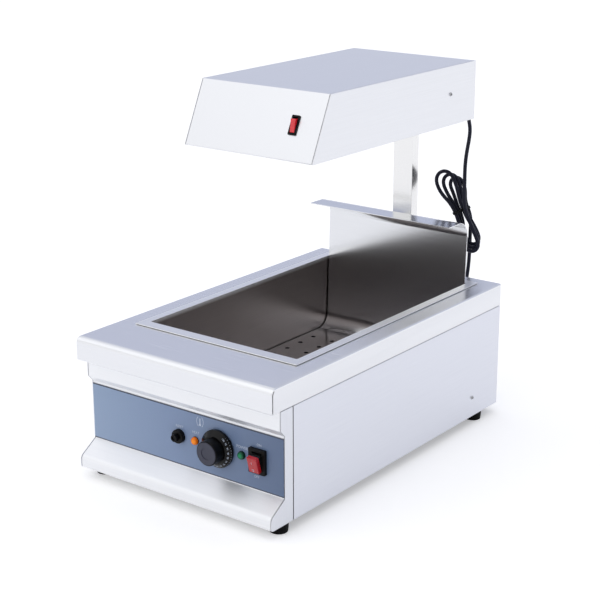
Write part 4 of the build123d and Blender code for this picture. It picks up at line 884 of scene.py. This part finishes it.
# %% Thermometer sign
sign_place = Vector((0.0335, panel_face_y, deck_z - 0.1007))
arc_radius, arc_half_width, arc_reach, arc_lift = 0.0078, 0.0005, radians(58), 0.0006
arc_narrow, arc_tall, curve_steps = 0.86, 1.18, 12
stem_half, stem_top = 0.0010, 0.0056
bulb_radius, bulb_drop, bulb_start, bulb_sweep = 0.0022, -0.0044, radians(115), radians(310)


def flat_piece(name, corners, faces, finish, thickness):
    """A flat mesh with a finish and a given thickness."""
    mesh = bpy.data.meshes.new(name)
    mesh.from_pydata(corners, [], faces)
    mesh.materials.append(finish)
    piece = put(name, mesh)
    piece.modifiers.new("thickness", "SOLIDIFY").thickness = thickness
    return piece


corners, faces = [], []
for side in (-1, 1):
    first = len(corners)
    for step in range(curve_steps + 1):
        angle = -arc_reach + 2 * arc_reach * step / curve_steps
        for radius in (arc_radius - arc_half_width, arc_radius + arc_half_width):
            across, upward = arc_narrow * radius * cos(angle), arc_tall * radius * sin(angle)
            corners.append((side * across, upward + arc_lift, 0))
    for step in range(curve_steps):
        low = first + 2 * step
        quad = (low, low + 1, low + 3, low + 2) if side > 0 else (low, low + 2, low + 3, low + 1)
        faces.append(quad)
outline = [(stem_half, stem_top), (0, stem_top + stem_half), (-stem_half, stem_top)]
for step in range(curve_steps + 1):
    angle = bulb_start + bulb_sweep * step / curve_steps
    outline.append((bulb_radius * cos(angle), bulb_drop + bulb_radius * sin(angle)))
first = len(corners)
corners += [(x, y, 0) for x, y in outline]
faces.append(tuple(range(first, len(corners))))
sign = flat_piece("thermometer_sign", corners, faces, print_ink, print_thickness)
stand(sign, sign_place, rightward, skyward)
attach(sign, "base")
print("sign corners", len(corners))

# %% [markdown]
# ## Dial marks
# The dial's bevelled skirt carries the temperatures, printed white, and a ring of short ticks. The
# knob turns clockwise to raise the heat, so the numbers run the other way round the skirt, and a
# part of it stays bare for the off position. Numbers that lay flat over the skirt would float at
# its rim, so each one stands on the cone: its up direction climbs the slope towards the grip.

# %% Dial numbers
dial_middle = Vector((0.0712, panel_face_y, control_z))
skirt_outer, skirt_inner, skirt_low, skirt_high = 0.031, 0.023, 0.006, 0.013
slope = Vector((skirt_inner - skirt_outer, skirt_high - skirt_low)).normalized()
outward = Vector((0, -1, 0))
dial_start, dial_step, dial_marks = radians(75), radians(16.33), 16
dial_lowest, dial_interval = 25, 5
number_size, number_radius = 0.0038, 0.0266


def on_skirt(angle, radius, sideways=0.0):
    """A point on the skirt's cone, clockwise from the top, and its across and upward directions."""
    spoke = Vector((sin(angle), 0, cos(angle)))
    across = Vector((cos(angle), 0, -sin(angle)))
    upward = -slope.x * spoke - slope.y * outward
    climb = (skirt_outer - radius) * (skirt_high - skirt_low) / (skirt_outer - skirt_inner)
    place = dial_middle + spoke * radius + outward * (skirt_low + climb) + across * sideways
    return place, across, upward


for mark in range(dial_marks):
    place, across, upward = on_skirt(-dial_start - dial_step * mark, number_radius)
    degrees = dial_lowest + dial_interval * mark
    word(f"dial_{degrees}", str(degrees), number_size, place, across, upward, "knob")
print("dial numbers", dial_marks, "up to", degrees)

# %% [markdown]
# A tick is four corners on the cone, lifted off it by the thickness of the ink. One stands at every
# number and one between each two, and all of them are one mesh, because they only turn together.

# %% Dial ticks
tick_half, tick_low, tick_high = 0.00015, 0.0308, 0.0300
tick_corners = (
    (tick_low, -tick_half), (tick_low, tick_half), (tick_high, tick_half), (tick_high, -tick_half),
)
corners, faces = [], []
for tick in range(2 * dial_marks - 1):
    first = len(corners)
    for radius, sideways in tick_corners:
        place, across, upward = on_skirt(-dial_start - dial_step / 2 * tick, radius, sideways)
        corners.append(place + across.cross(upward) * print_thickness)
    faces.append(tuple(range(first, len(corners))))
ticks = flat_piece("dial_ticks", corners, faces, print_ink, print_thickness)
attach(ticks, "knob")
print("dial ticks", len(faces))

# %% [markdown]
# ## Rocker marks
# The red cap of the main switch carries a short bar and a ring, the usual signs for on and off.
# The letters I and O have just these shapes, so they are set as words. They are printed on the
# cap's flat face and take the rocker's tilt.

# %% Marks on the main rocker
mark_size, mark_aside = 0.0056, 0.0010
rocker_up = Vector((0, -sin(rocker_tilt), cos(rocker_tilt)))
cap_face = rocker_pin + rocker_out * rocker_crown - rightward * mark_aside
rocker_marks = (("rocker_on", "I", 0.0045), ("rocker_off", "O", -0.0087))
for name, letter, rise in rocker_marks:
    word(name, letter, mark_size, cap_face + rocker_up * rise, rightward, rocker_up, "main_rocker")
print("rocker marks", len(rocker_marks))

# %% [markdown]
# ## Screw recesses
# Each visible screw has a cross recess. It could be cut out of the screw's head, but the solids
# stay as they are. A small dark cross on the screw's face reads as the recess from any side, and is
# what makes the screws visible as dots in the picture.

# %% Cross recesses
# A recess gives the eye a dull, dark grey, because little light comes back out of it.
recess_dark = moulded("shadowed_screw_recess", "#17181a", "#2a2b2e", 1.0, 0.6, 0.2)
screw_head, arm_long, arm_half = 0.0022, 0.0018, 0.0005
recess_thickness, recess_turn = 0.0004, radians(25)
cross = [
    (arm_half, arm_half), (arm_half, arm_long), (-arm_half, arm_long), (-arm_half, arm_half),
    (-arm_long, arm_half), (-arm_long, -arm_half), (-arm_half, -arm_half), (-arm_half, -arm_long),
    (arm_half, -arm_long), (arm_half, -arm_half), (arm_long, -arm_half), (arm_long, arm_half),
]
base_side_screw, head_side_screw = (0.200, 0.234, 0.0534), (0.129, 0.248, 0.5876)
back_screw_step, back_screw_z = 0.110, 0.047
# Two screws on the base's sides, two on the head's sides and four on the back panel.
screws = []
for x, y, z in (base_side_screw, head_side_screw):
    screws += [(Vector((side * x, y, z)), Vector((0, side, 0))) for side in (-1, 1)]
for place in (-1.5, -0.5, 0.5, 1.5):
    screws.append((Vector((place * back_screw_step, rear_y, back_screw_z)), -rightward))
for number, (place, across) in enumerate(screws):
    screw_way = across.cross(skyward)
    turned = across * cos(recess_turn) + skyward * sin(recess_turn)
    recess = flat_piece(f"cross_recess_{number}", [(x, y, 0) for x, y in cross],
                        [tuple(range(len(cross)))], recess_dark, recess_thickness)
    stand(recess, place + screw_way * screw_head, turned, screw_way.cross(turned))
    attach(recess, "base")
print("recesses", len(screws))
